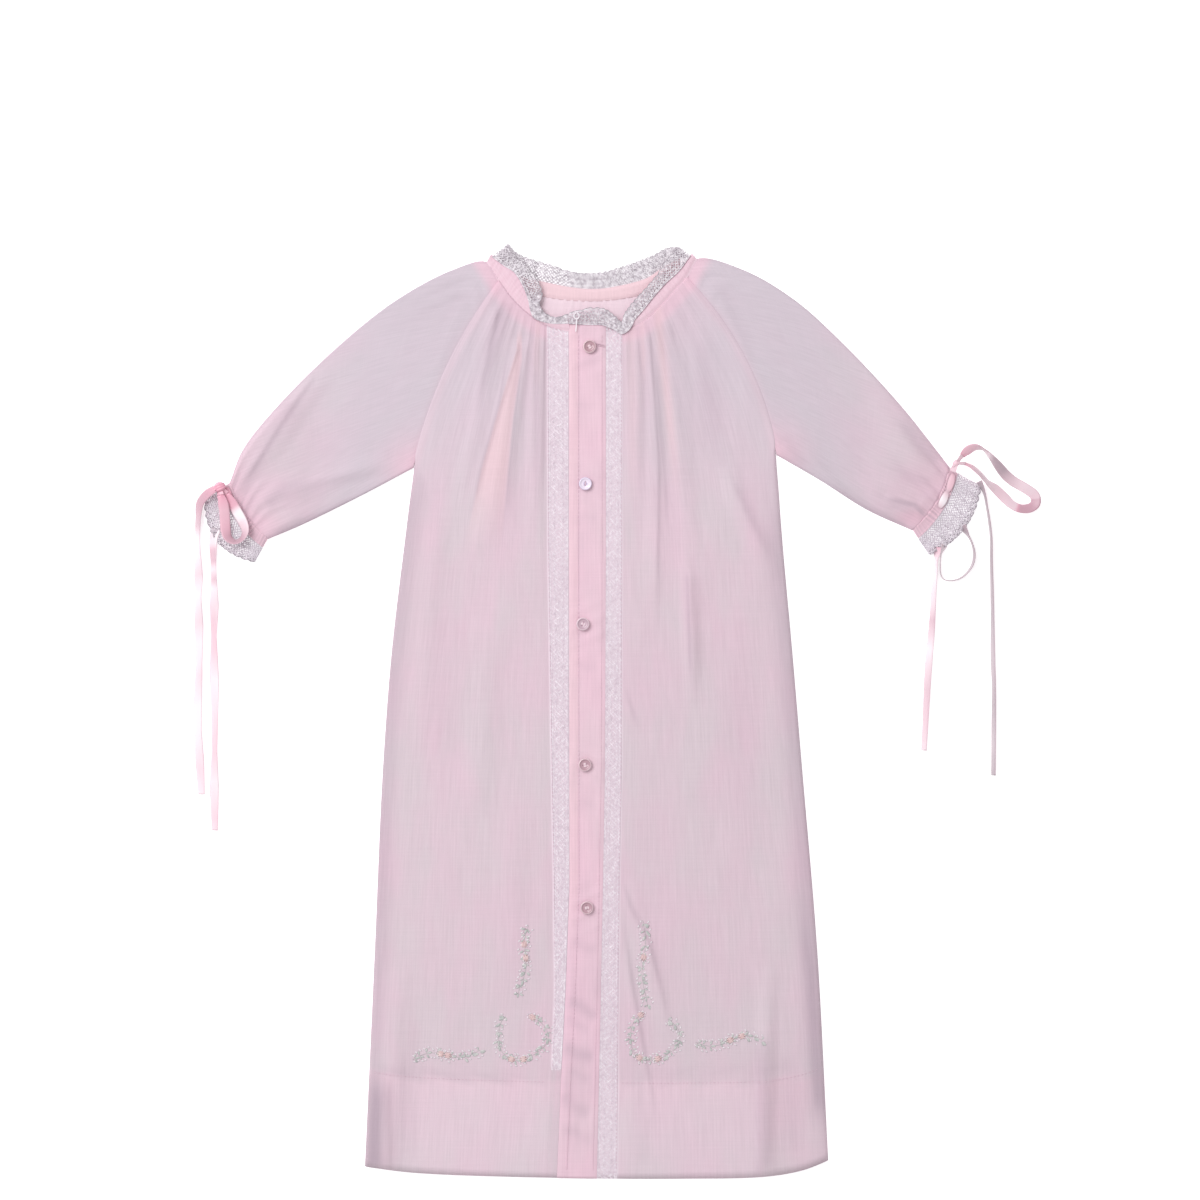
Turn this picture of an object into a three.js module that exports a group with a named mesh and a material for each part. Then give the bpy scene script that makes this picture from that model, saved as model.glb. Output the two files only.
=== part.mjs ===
// A newborn's daygown of cotton batiste, laid flat on its back.
// Millimetres. +X is right as seen from above, +Y runs from the hem to the neck, +Z is up.
// "Left" and "right" are as seen from above.

import * as THREE from 'three';

// ---- driving sizes ----
const cloth = 1.0; // wall of one layer of cloth
const gap = 0.3; // space left at seams and between layers
const frontBase = cloth + gap; // underside of the fronts, which lie on the back
const frontTop = frontBase + cloth; // upper face of a front where it lies flat
const trimBase = frontTop + gap; // underside of what is sewn on a front
const placketWall = 1.2; // folded band, two layers
const laceWall = 1.0;
const bindingWidth = 3.0;
const bindingTop = { left: 3.3, right: 4.0 }; // the right one also covers the end of the placket
const backBandWidth = 7.0; // neck binding seen inside the back neck
const laceUnderside = frontTop + gap + 0.05; // front neck lace, clear of the back neck band and lace
const centreLine = -4.0; // the fronts meet here, under the placket
const cuffBandWidth = 5.0;
const cuffBandRise = 0.9; // the gathered cuff band stands above the sleeve's flat face
const cuffBow = { left: 3.6, right: -3.6 }; // bulge of the gathered wrist, outwards along the sleeve
const cuffSpread = 0.5; // the underarm end of the cuff widens this much for each mm outwards
const cuffInset = 0.4; // each end of the band stands in from the sleeve's edge
const ribbonWidth = 6.0;
const ribbonWall = 1.0;
const loopStep = 4.0; // length of one step along a loop, and along a tail
const tailStep = 10.0;
const buttonSize = { radius: 3.75, height: 2.0, rim: 0.9, dish: 0.7 };

// ---- outlines, one row for each point the curve needs ----
const neck = {
  // front neckline from the shoulder end of the sleeve to the placket
  left: [
    { x: -60.4, y: 257.3 }, { x: -53.0, y: 246.0 }, { x: -45.5, y: 236.0 }, { x: -35.7, y: 226.8 },
    { x: -27.0, y: 221.1 }, { x: -15.5, y: 217.6 }, { x: centreLine - gap / 2, y: 217.0 },
  ],
  right: [
    { x: 60.0, y: 259.0 }, { x: 54.0, y: 248.0 }, { x: 46.8, y: 240.0 }, { x: 39.1, y: 231.5 },
    { x: 27.6, y: 221.8 }, { x: 10.4, y: 217.6 }, { x: centreLine + gap / 2, y: 217.0 },
  ],
  // back neckline from the left raglan seam to the right one
  back: [
    { x: -53.0, y: 246.0 }, { x: -41.4, y: 245.6 }, { x: -18.4, y: 242.4 }, { x: 4.6, y: 241.8 },
    { x: 27.6, y: 244.3 }, { x: 43.7, y: 248.4 }, { x: 54.0, y: 248.0 },
  ],
};

// bow: how far the raglan seam bulges towards the sleeve
const raglan = {
  left: { underarm: { x: -102.4, y: 138.9 }, top: { x: -53.0, y: 246.0 }, bow: 6.5 },
  right: { underarm: { x: 105.8, y: 146.3 }, top: { x: 54.0, y: 248.0 }, bow: -9.0 },
};

const sideSeam = {
  left: [
    { x: -102.4, y: 138.9 }, { x: -107.5, y: 97.5 }, { x: -115.0, y: 34.2 }, { x: -120.2, y: -34.8 },
    { x: -124.8, y: -138.3 }, { x: -130.5, y: -262.5 },
  ],
  right: [
    { x: 105.8, y: 146.3 }, { x: 109.3, y: 97.5 }, { x: 115.0, y: 34.2 }, { x: 120.8, y: -34.8 },
    { x: 129.4, y: -138.3 }, { x: 135.7, y: -259.0 },
  ],
};

const hem = [
  { x: -130.5, y: -262.5 }, { x: -103.5, y: -265.9 }, { x: -25.3, y: -268.8 }, { x: 50.6, y: -269.4 },
  { x: 100.1, y: -268.2 }, { x: 121.0, y: -264.6 }, { x: 135.7, y: -259.0 },
];

const sleeve = {
  left: {
    shoulder: [
      { x: -53.0, y: 246.0 }, { x: -60.4, y: 257.3 }, { x: -79.9, y: 252.7 }, { x: -112.1, y: 235.5 },
      { x: -144.9, y: 209.6 }, { x: -180.0, y: 175.1 }, { x: -200.7, y: 149.2 }, { x: -208.0, y: 131.0 },
    ],
    under: [
      { x: -102.4, y: 138.9 }, { x: -131.7, y: 123.3 }, { x: -166.8, y: 106.1 }, { x: -186.0, y: 98.0 },
    ],
  },
  right: {
    shoulder: [
      { x: 54.0, y: 248.0 }, { x: 60.0, y: 259.0 }, { x: 86.8, y: 252.7 }, { x: 116.2, y: 235.5 },
      { x: 144.9, y: 209.6 }, { x: 177.1, y: 175.1 }, { x: 197.8, y: 149.2 }, { x: 205.6, y: 139.0 },
    ],
    under: [
      { x: 105.8, y: 146.3 }, { x: 130.5, y: 132.0 }, { x: 158.1, y: 114.7 }, { x: 184.0, y: 103.0 },
    ],
  },
};

// free edge of the gathered lace beyond each cuff: its two ends and the bulge between them
const cuffLace = {
  left: { under: { x: -194.0, y: 84.7 }, shoulder: { x: -222.6, y: 119.5 }, bow: 9.0 },
  right: { under: { x: 194.0, y: 88.8 }, shoulder: { x: 223.6, y: 128.6 }, bow: -7.0 },
};

// the long trims: x of each edge at stations down the front
const trims = [
  { y: 217.0, laceLeft: -25.9, placketLeft: -13.2, placketRight: 7.5, laceRight: 17.3 },
  { y: 90.0, laceLeft: -25.5, placketLeft: -13.2, placketRight: 7.5, laceRight: 17.3 },
  { y: -34.0, laceLeft: -23.5, placketLeft: -13.0, placketRight: 7.0, laceRight: 17.1 },
  { y: -102.0, laceLeft: -22.2, placketLeft: -12.9, placketRight: 5.8, laceRight: 15.8 },
  { y: -165.0, laceLeft: -21.6, placketLeft: -15.2, placketRight: 4.6, laceRight: 15.2 },
  { y: -214.0, laceLeft: -23.6, placketLeft: -17.8, placketRight: 3.5, laceRight: 14.8 },
  { y: -269.0, laceLeft: -27.0, placketLeft: -20.1, placketRight: 2.3, laceRight: 14.4 },
];
const leftLaceEnd = -207.0; // the left lace band stops at the top of the hem
const necklineY = 217.0; // the neckline where the trims start
const hemY = -268.0; // the hem where they end

// folds that stand up from the cloth: a line, the half width and the height
const folds = {
  left: [
    { x0: -41.5, y0: 212.0, x1: -61.5, y1: 92.0, width: 11.0, height: 3.0 },
    { x0: -50.0, y0: 226.0, x1: -74.0, y1: 128.0, width: 8.0, height: 1.6 },
    { x0: -32.5, y0: 214.0, x1: -33.5, y1: 96.0, width: 6.0, height: 1.6 },
    { x0: -57.0, y0: 60.0, x1: -66.0, y1: -60.0, width: 14.0, height: 1.0 },
    { x0: -112.0, y0: -150.0, x1: -116.0, y1: -262.0, width: 12.0, height: 1.8 },
    { x0: -45.0, y0: -60.0, x1: -50.0, y1: -170.0, width: 14.0, height: 0.8 },
  ],
  right: [
    { x0: 37.0, y0: 224.0, x1: 36.0, y1: 60.0, width: 8.0, height: 2.4 },
    { x0: 46.0, y0: 230.0, x1: 57.0, y1: 88.0, width: 9.0, height: 2.8 },
    { x0: 26.0, y0: 214.0, x1: 26.0, y1: 110.0, width: 6.0, height: 1.6 },
    { x0: 54.0, y0: 92.0, x1: 58.5, y1: 2.0, width: 7.0, height: 1.8 },
    { x0: 76.0, y0: 140.0, x1: 104.0, y1: 74.0, width: 10.0, height: 1.4 },
    { x0: 21.0, y0: -98.0, x1: 46.0, y1: -196.0, width: 9.0, height: 2.2 },
    { x0: 101.0, y0: -150.0, x1: 99.0, y1: -266.0, width: 8.0, height: 2.4 },
  ],
  sleeveLeft: [
    { x0: -152.0, y0: 196.0, x1: -196.0, y1: 132.0, width: 9.0, height: 1.6 },
    { x0: -116.0, y0: 144.0, x1: -186.0, y1: 118.0, width: 8.0, height: 1.2 },
  ],
  sleeveRight: [
    { x0: 160.0, y0: 178.0, x1: 196.0, y1: 128.0, width: 9.0, height: 1.2 },
    { x0: 112.0, y0: 160.0, x1: 140.0, y1: 128.0, width: 9.0, height: 1.2 },
    { x0: 168.0, y0: 122.0, x1: 190.0, y1: 110.0, width: 7.0, height: 1.6 },
  ],
};

const gathers = { perFront: 8, height: 1.5, perSleeveHead: 3, perCuff: 6, cuffHeight: 1.4 };

const buttonPlaces = [
  { x: -1.4, y: 208.4 }, { x: -3.8, y: 129.7 }, { x: -5.2, y: 49.2 }, { x: -4.0, y: -31.6 },
  { x: -2.9, y: -113.6 },
];

// free ribbons: path, the roll of the ribbon (0 lies flat, 90 stands on its edge) and the lift
// of its lowest edge above the surface that the gown lies on
const ribbons = {
  bow_loop_right: [
    { x: 212.2, y: 145.8, roll: 58, lift: 5.0 }, { x: 214.8, y: 147.9, roll: 56, lift: 4.6 },
    { x: 219.5, y: 150.4, roll: 78, lift: 3.6 }, { x: 224.4, y: 149.0, roll: 86, lift: 2.6 },
    { x: 229.3, y: 144.5, roll: 60, lift: 1.8 }, { x: 233.7, y: 139.3, roll: 32, lift: 1.0 },
    { x: 237.6, y: 134.8, roll: 22, lift: 0.5 }, { x: 242.4, y: 130.9, roll: 18, lift: 0.2 },
    { x: 248.5, y: 127.8, roll: 22, lift: 0.1 }, { x: 254.0, y: 124.4, roll: 42, lift: 0.1 },
    { x: 256.0, y: 119.4, roll: 56, lift: 0.1 }, { x: 252.6, y: 115.5, roll: 56, lift: 0.1 },
    { x: 246.4, y: 114.5, roll: 52, lift: 0.1 }, { x: 241.3, y: 117.4, roll: 32, lift: 0.1 },
    { x: 236.8, y: 122.0, roll: 16, lift: 0.3 }, { x: 231.8, y: 126.8, roll: 26, lift: 0.8 },
    { x: 226.9, y: 130.7, roll: 58, lift: 2.4 }, { x: 222.4, y: 135.4, roll: 60, lift: 4.4 },
    { x: 217.6, y: 139.4, roll: 60, lift: 5.2 }, { x: 214.0, y: 141.0, roll: 62, lift: 5.4 },
  ],
  bow_loop_left: [
    { x: -209.6, y: 123.6, roll: 14, lift: 4.8 }, { x: -205.9, y: 117.6, roll: 10, lift: 4.7 },
    { x: -202.6, y: 111.9, roll: 12, lift: 4.7 }, { x: -199.8, y: 106.6, roll: 22, lift: 4.6 },
    { x: -198.9, y: 101.8, roll: 44, lift: 4.5 }, { x: -200.9, y: 97.9, roll: 60, lift: 4.5 },
    { x: -204.6, y: 96.4, roll: 62, lift: 4.6 }, { x: -208.2, y: 98.4, roll: 44, lift: 4.8 },
    { x: -209.8, y: 102.8, roll: 20, lift: 5.2 }, { x: -210.3, y: 108.8, roll: 10, lift: 5.8 },
    { x: -210.7, y: 115.0, roll: 8, lift: 6.6 }, { x: -211.7, y: 120.2, roll: 8, lift: 7.0 },
    { x: -212.8, y: 123.2, roll: 10, lift: 7.0 },
  ],
  tail_left_outer: [
    { x: -217.4, y: 126.2, roll: 62, lift: 4.2 }, { x: -221.8, y: 123.4, roll: 66, lift: 3.4 },
    { x: -225.2, y: 118.6, roll: 74, lift: 1.6 }, { x: -226.5, y: 110.6, roll: 76, lift: 0.1 },
    { x: -226.6, y: 100.0, roll: 50, lift: 0.1 }, { x: -226.3, y: 90.9, roll: 56, lift: 0.1 },
    { x: -226.1, y: 77.0, roll: 28, lift: 0.1 }, { x: -226.2, y: 64.0, roll: 48, lift: 0.1 },
    { x: -225.9, y: 48.0, roll: 26, lift: 0.1 }, { x: -225.7, y: 26.5, roll: 48, lift: 0.1 },
    { x: -226.4, y: 6.0, roll: 30, lift: 0.1 }, { x: -226.2, y: -12.0, roll: 42, lift: 0.1 },
    { x: -225.5, y: -28.0, roll: 28, lift: 0.1 }, { x: -224.4, y: -48.6, roll: 46, lift: 0.1 },
  ],
  tail_left_inner: [
    { x: -217.9, y: 95.4, roll: 58, lift: 0.1 }, { x: -217.6, y: 86.0, roll: 50, lift: 0.1 },
    { x: -217.3, y: 76.0, roll: 52, lift: 0.1 }, { x: -217.1, y: 60.0, roll: 26, lift: 0.1 },
    { x: -217.3, y: 42.0, roll: 52, lift: 0.1 }, { x: -217.0, y: 18.0, roll: 24, lift: 0.1 },
    { x: -216.7, y: -4.0, roll: 46, lift: 0.1 }, { x: -216.9, y: -24.0, roll: 52, lift: 0.1 },
    { x: -217.0, y: -44.0, roll: 26, lift: 0.1 }, { x: -216.8, y: -69.3, roll: 48, lift: 0.1 },
  ],
  tail_right_outer: [
    { x: 225.4, y: 125.2, roll: 84, lift: 0.1 }, { x: 226.6, y: 117.0, roll: 84, lift: 0.1 },
    { x: 227.9, y: 108.4, roll: 82, lift: 0.1 }, { x: 229.0, y: 98.6, roll: 76, lift: 0.1 },
    { x: 229.1, y: 86.0, roll: 74, lift: 0.1 }, { x: 229.5, y: 70.0, roll: 60, lift: 0.1 },
    { x: 229.8, y: 52.0, roll: 54, lift: 0.1 }, { x: 230.0, y: 30.8, roll: 48, lift: 0.1 },
    { x: 230.6, y: 12.0, roll: 56, lift: 0.1 }, { x: 230.5, y: -10.0, roll: 54, lift: 0.1 },
    { x: 230.3, y: -37.7, roll: 58, lift: 0.1 },
  ],
  tail_right_inner: [
    { x: 197.3, y: 88.0, roll: 76, lift: 0.1 }, { x: 197.2, y: 78.6, roll: 76, lift: 0.1 },
    { x: 196.3, y: 70.0, roll: 66, lift: 0.1 }, { x: 195.4, y: 54.0, roll: 62, lift: 0.1 },
    { x: 194.6, y: 42.0, roll: 56, lift: 0.1 }, { x: 193.2, y: 26.0, roll: 52, lift: 0.1 },
    { x: 192.2, y: 10.0, roll: 56, lift: 0.1 }, { x: 191.4, y: -6.0, roll: 62, lift: 0.1 },
    { x: 190.4, y: -23.4, roll: 64, lift: 0.1 },
  ],
  ribbon_loop_right: [
    { x: 215.6, y: 100.4, roll: 86, lift: 0.1 }, { x: 218.2, y: 95.0, roll: 86, lift: 0.1 },
    { x: 219.3, y: 89.0, roll: 80, lift: 0.1 }, { x: 218.4, y: 83.6, roll: 80, lift: 0.1 },
    { x: 215.8, y: 79.4, roll: 82, lift: 0.1 }, { x: 211.4, y: 75.6, roll: 84, lift: 0.1 },
    { x: 206.2, y: 74.2, roll: 86, lift: 0.1 }, { x: 202.0, y: 74.8, roll: 88, lift: 0.1 },
    { x: 200.3, y: 77.8, roll: 88, lift: 0.1 }, { x: 200.0, y: 82.6, roll: 88, lift: 0.1 },
    { x: 199.8, y: 88.0, roll: 88, lift: 0.1 },
  ],
};

const knots = {
  bow_knot_right: { x: 208.6, y: 141.2, width: 7.4, depth: 8.4, height: 5.2, turn: -32, lift: 5.0 },
  bow_knot_left: { x: -213.2, y: 128.0, width: 7.6, depth: 7.0, height: 5.0, turn: 35, lift: 4.4 },
};

// ---- curves and closed walls ----
function curveThrough(points) {
  const corners = points.map((p) => new THREE.Vector3(p.x, p.y, 0));
  return new THREE.CatmullRomCurve3(corners, false, 'centripetal');
}

const mix = (a, b, t) => a + (b - a) * t;
const mixPoint = (a, b, t) => ({ x: mix(a.x, b.x, t), y: mix(a.y, b.y, t) });
const smooth = (t) => THREE.MathUtils.smoothstep(t, 0, 1);

// a point on the line from a to b, pushed sideways by a parabola of height bow
function bowedPoint(a, b, bow, t) {
  const length = Math.hypot(b.x - a.x, b.y - a.y);
  const push = (bow * 4 * t * (1 - t)) / length;
  return { x: mix(a.x, b.x, t) - (b.y - a.y) * push, y: mix(a.y, b.y, t) + (b.x - a.x) * push };
}

// a curve moved sideways by distance, to the left of its direction
function offsetCurve(curve, distance, steps) {
  return Array.from({ length: steps + 1 }, (_, i) => {
    const p = curve.getPointAt(i / steps);
    const d = curve.getTangentAt(i / steps);
    return { x: p.x - d.y * distance, y: p.y + d.x * distance };
  });
}

// triangles between two rows of a net that may hold different numbers of points
function stripTriangles(startA, countA, startB, countB) {
  const triangles = [];
  let a = 0;
  let b = 0;
  while (a < countA - 1 || b < countB - 1) {
    const nextA = a < countA - 1 ? (a + 1) / (countA - 1) : 2;
    const nextB = b < countB - 1 ? (b + 1) / (countB - 1) : 2;
    if (nextA <= nextB) {
      triangles.push([startA + a, startA + a + 1, startB + b]);
      a += 1;
    } else {
      triangles.push([startA + a, startB + b + 1, startB + b]);
      b += 1;
    }
  }
  return triangles;
}

// a geometry from points and triangles, turned right side out
function closedGeometry(points, triangles) {
  let volume = 0;
  for (const [a, b, c] of triangles) volume += points[a].dot(points[b].clone().cross(points[c]));
  const order = volume < 0 ? [0, 2, 1] : [0, 1, 2];
  const geometry = new THREE.BufferGeometry();
  const numbers = points.flatMap((p) => p.toArray());
  geometry.setAttribute('position', new THREE.Float32BufferAttribute(numbers, 3));
  geometry.setIndex(triangles.flatMap((t) => order.map((i) => t[i])));
  geometry.computeVertexNormals();
  return geometry;
}

// a wall between an upper and a lower face: rows of { x, y, top, bottom }
function sheetGeometry(rows) {
  const flat = rows.flat();
  const count = flat.length;
  const points = flat.map((p) => new THREE.Vector3(p.x, p.y, p.top));
  points.push(...flat.map((p) => new THREE.Vector3(p.x, p.y, p.bottom)));
  const starts = rows.map((row, i) => rows.slice(0, i).reduce((sum, r) => sum + r.length, 0));
  const triangles = [];
  for (let i = 0; i + 1 < rows.length; i += 1) {
    triangles.push(...stripTriangles(starts[i], rows[i].length, starts[i + 1], rows[i + 1].length));
  }
  const under = triangles.map(([a, b, c]) => [a + count, c + count, b + count]);
  const last = rows.length - 1;
  const edge = [
    ...rows[0].map((_, i) => i),
    ...rows.slice(1, last).map((row, i) => starts[i + 1] + row.length - 1),
    ...rows[last].map((_, i) => starts[last] + rows[last].length - 1 - i),
    ...rows.slice(1, last).map((_, i) => starts[last - 1 - i]),
  ];
  const sides = edge.flatMap((a, i) => {
    const b = edge[(i + 1) % edge.length];
    return [[b, a, a + count], [b, a + count, b + count]];
  });
  return closedGeometry(points, [...triangles, ...under, ...sides]);
}

// a wall between an outer and an inner ring at each station, open at both ends
function tubeGeometry(stations) {
  const ringCount = stations[0].outer.length;
  const total = stations.length * ringCount;
  const points = [...stations.flatMap((s) => s.outer), ...stations.flatMap((s) => s.inner)];
  const triangles = [];
  const quad = (a, b, c, d) => triangles.push([a, b, c], [a, c, d]);
  for (let i = 0; i < ringCount; i += 1) {
    const j = (i + 1) % ringCount;
    for (let s = 0; s + 1 < stations.length; s += 1) {
      const near = s * ringCount;
      const far = near + ringCount;
      quad(near + i, near + j, far + j, far + i);
      quad(total + near + j, total + near + i, total + far + i, total + far + j);
    }
    const end = total - ringCount;
    quad(total + i, total + j, j, i);
    quad(end + i, end + j, total + end + j, total + end + i);
  }
  return closedGeometry(points, triangles);
}

const edgeRound = 1.2; // width of the rounded edge of a flattened tube
const innerInset = 1.1; // its inner face stands in from the outer one at the edges

// rings of a flattened tube whose underside lies at zero; topAt gives the height of its upper face
function flatRing(a, b, bow, topAt, columns) {
  const width = Math.hypot(b.x - a.x, b.y - a.y);
  const corner = edgeRound / width;
  const inset = innerInset / width;
  const at = (t, z) => {
    const p = bowedPoint(a, b, bow, t);
    return new THREE.Vector3(p.x, p.y, z);
  };
  const outer = [];
  const inner = [];
  const add = (t, outerZ, innerZ) => {
    outer.push(at(t, outerZ));
    inner.push(at(mix(inset, 1 - inset, t), innerZ));
  };
  for (let i = 0; i <= columns; i += 1) {
    const t = mix(corner, 1 - corner, i / columns);
    const top = topAt(t, at(t, 0));
    add(t, top, top - cloth);
  }
  add(1, frontTop / 2, frontTop / 2);
  for (let i = columns / 2; i >= 0; i -= 1) add(mix(corner, 1 - corner, (2 * i) / columns), 0, cloth);
  add(0, frontTop / 2, frontTop / 2);
  return { outer, inner };
}

// height of all the folds of a table at one place
function foldHeight(table, x, y) {
  let height = 0;
  for (const fold of table) {
    const dx = fold.x1 - fold.x0;
    const dy = fold.y1 - fold.y0;
    const length = Math.hypot(dx, dy);
    const along = ((x - fold.x0) * dx + (y - fold.y0) * dy) / (length * length);
    const across = Math.abs((x - fold.x0) * dy - (y - fold.y0) * dx) / length;
    if (along <= 0 || along >= 1 || across >= fold.width) continue;
    const taper = Math.sqrt(Math.sin(Math.PI * along));
    const bell = 0.5 + 0.5 * Math.cos((Math.PI * across) / fold.width);
    height = Math.max(height, fold.height * taper * bell);
  }
  return height;
}

// ---- the pieces ----
const trimCurves = Object.fromEntries(
  ['laceLeft', 'placketLeft', 'placketRight', 'laceRight'].map((edge) => [
    edge,
    (y) => {
      const i = Math.max(0, trims.findIndex((row, k) => k > 0 && y >= row.y) - 1);
      const t = THREE.MathUtils.clamp((trims[i].y - y) / (trims[i].y - trims[i + 1].y), 0, 1);
      return mix(trims[i][edge], trims[i + 1][edge], t);
    },
  ]),
);

// y of a curve that runs from left to right, at one x
function heightOn(curve, x) {
  let low = 0;
  let high = 1;
  for (let i = 0; i < 30; i += 1) {
    const middle = (low + high) / 2;
    if (curve.getPoint(middle).x < x) low = middle;
    else high = middle;
  }
  return curve.getPoint((low + high) / 2).y;
}

const hemCurve = curveThrough(hem);
const side = {
  left: {
    outward: -1, trimEdge: trimCurves.laceLeft, placketEdge: trimCurves.placketLeft, table: folds.left,
  },
  right: {
    outward: 1, trimEdge: trimCurves.laceRight, placketEdge: trimCurves.placketRight, table: folds.right,
  },
};

// outer edge of a body panel: down the raglan seam, then down the side seam to the hem
function bodyEdge(name, raglanRows, skirtRows) {
  const seam = raglan[name];
  const inward = (-side[name].outward * gap) / 2;
  const edge = [];
  for (let i = 0; i <= raglanRows; i += 1) {
    const p = bowedPoint(seam.top, seam.underarm, -seam.bow, i / raglanRows);
    edge.push({ x: p.x + inward * 1.2, y: p.y - gap / 2 });
  }
  const skirt = curveThrough(sideSeam[name]);
  for (let i = 1; i <= skirtRows; i += 1) {
    const p = skirt.getPointAt(i / skirtRows);
    edge.push({ x: p.x, y: p.y });
  }
  return edge;
}

// one front: a gathered net from the lace band to the side, and a flat strip under the trims
function frontPanel(name) {
  const { outward, trimEdge, placketEdge, table } = side[name];
  const raglanRows = 11;
  const skirtRows = 17;
  const edge = bodyEdge(name, raglanRows, skirtRows);
  const rowCount = edge.length;
  const inner = centreLine + (outward * gap) / 2;
  const neckCurve = curveThrough(neck[name].slice(1).reverse());
  const neckStart = neckCurve.getPoint(0);
  const neckX = trimEdge(neckStart.y);
  const neckTurn = name === 'left' ? 1 : -1;
  const neckAt = (x) => heightOn({ getPoint: (t) => neckCurve.getPoint(neckTurn > 0 ? 1 - t : t) }, x);
  const hemAt = (x) => heightOn(hemCurve, x);
  const startY = neckAt(neckX);
  const trimStart = placketEdge(startY);
  const endX = trimEdge(hemY);
  return sheetGeometry(edge.map((outer, row) => {
    const v = row / (rowCount - 1);
    const down = row / raglanRows;
    const low = Math.max(0, (row - raglanRows) / skirtRows);
    const innerY = mix(startY, hemAt(endX), v);
    const innerX = row === 0 ? neckX : trimEdge(innerY);
    const columns = row < 7 ? gathers.perFront * 3 : row < 16 ? 14 : 9;
    const points = [];
    for (let i = 0; i <= columns; i += 1) {
      const u = i / columns;
      const p = mixPoint({ x: innerX, y: innerY }, outer, u);
      const topFade = Math.max(0, 1 - down) ** 2;
      const topX = mix(neckX, edge[0].x, u);
      p.y += (neckAt(topX) - mix(startY, edge[0].y, u)) * topFade;
      const endFade = low ** 3;
      const hemX = mix(endX, edge[rowCount - 1].x, u);
      p.y += (hemAt(hemX) - mix(hemAt(endX), edge[rowCount - 1].y, u)) * endFade;
      const rise = smooth(u / 0.12) * smooth((1 - u) / 0.05);
      const wave = 0.5 - 0.5 * Math.cos(2 * Math.PI * gathers.perFront * u);
      const gather = gathers.height * wave * Math.max(0, 1 - row / 7) ** 1.3;
      const top = frontTop + (gather + foldHeight(table, p.x, p.y)) * rise;
      points.push({ x: p.x, y: p.y, top, bottom: top - cloth });
    }
    const flatY = (x) => (row === rowCount - 1 ? hemAt(x) : mix(neckAt(x), hemAt(x), v));
    const folded = row === 0 ? trimStart : placketEdge(innerY);
    for (const x of [folded, inner]) points.unshift({ x, y: flatY(x), top: frontTop, bottom: frontBase });
    return points;
  }));
}

function backPanel() {
  const raglanRows = 8;
  const skirtRows = 8;
  const columns = 9;
  const leftEdge = bodyEdge('left', raglanRows, skirtRows);
  const rightEdge = bodyEdge('right', raglanRows, skirtRows);
  const neckCurve = curveThrough(neck.back);
  const last = leftEdge.length - 1;
  return sheetGeometry(leftEdge.map((left, row) => {
    const right = rightEdge[row];
    return Array.from({ length: columns + 1 }, (_, i) => {
      const u = i / columns;
      const p = mixPoint(left, right, u);
      const start = mixPoint(leftEdge[0], rightEdge[0], u);
      const end = mixPoint(leftEdge[last], rightEdge[last], u);
      const drop = heightOn(neckCurve, start.x) - gap / 2 - start.y;
      p.y += i % columns === 0 ? 0 : drop * Math.max(0, 1 - row / raglanRows) ** 2;
      p.y += i % columns === 0 ? 0 : (heightOn(hemCurve, end.x) - end.y) * (row / last) ** 4;
      return { x: p.x, y: p.y, top: cloth, bottom: 0 };
    });
  }));
}

function sleeveTube(name) {
  const { outward } = side[name];
  const stations = 13;
  const columns = 10;
  const shoulder = curveThrough(sleeve[name].shoulder);
  const under = curveThrough(sleeve[name].under);
  const table = name === 'left' ? folds.sleeveLeft : folds.sleeveRight;
  // the first two stations are the raglan seam and the corner where the neck binding ends
  const [seamTop, corner] = sleeve[name].shoulder;
  const cornerShare = Math.hypot(corner.x - seamTop.x, corner.y - seamTop.y) / shoulder.getLength();
  const rings = [];
  for (let s = 0; s <= stations; s += 1) {
    const t = s === 0 ? 0 : mix(cornerShare, 1, (s - 1) / (stations - 1));
    const a = under.getPointAt(t);
    const b = shoulder.getPointAt(t);
    const shift = (outward * gap) / 2 * (1 - t);
    const bow = raglan[name].bow * (1 - t) ** 2 + cuffBow[name] * smooth((t - 0.7) / 0.3);
    const topAt = (f, p) => {
      const edges = smooth(f / 0.08) * smooth((1 - f) / 0.08);
      const head = gathers.height * 0.6 * smooth((f - 0.7) / 0.2) * Math.max(0, 1 - t / 0.3)
        * (0.5 - 0.5 * Math.cos(2 * Math.PI * gathers.perSleeveHead * ((f - 0.7) / 0.3)));
      const cuff = gathers.cuffHeight * Math.max(0, (t - 0.75) / 0.25)
        * (0.5 - 0.5 * Math.cos(2 * Math.PI * gathers.perCuff * f));
      const puff = 1.4 * Math.sin(Math.PI * smooth((t - 0.6) / 0.4));
      return frontTop + edges * (head + cuff + puff + foldHeight(table, p.x, p.y));
    };
    rings.push(flatRing({ x: a.x + shift, y: a.y }, { x: b.x + shift, y: b.y }, bow, topAt, columns));
  }
  return tubeGeometry(rings);
}

// the two ends of a ring a given way beyond the cuff end of the sleeve
function cuffEnds(name, distance) {
  const a = sleeve[name].under.at(-1);
  const b = sleeve[name].shoulder.at(-1);
  const length = Math.hypot(b.x - a.x, b.y - a.y);
  const along = { x: (b.x - a.x) / length, y: (b.y - a.y) / length };
  const out = { x: side[name].outward * Math.abs(along.y), y: -Math.abs(along.x) };
  const move = (p, shift) => ({
    x: p.x + out.x * distance + along.x * shift, y: p.y + out.y * distance + along.y * shift,
  });
  return { a: move(a, cuffInset - cuffSpread * distance), b: move(b, -cuffInset) };
}

function cuffBand(name) {
  const topAt = (f) => frontTop + cuffBandRise * smooth(f / 0.1) * smooth((1 - f) / 0.1);
  const ring = (distance) => {
    const { a, b } = cuffEnds(name, distance);
    return flatRing(a, b, cuffBow[name], topAt, 8);
  };
  return tubeGeometry([gap, gap + cuffBandWidth / 2, gap + cuffBandWidth].map(ring));
}

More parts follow.
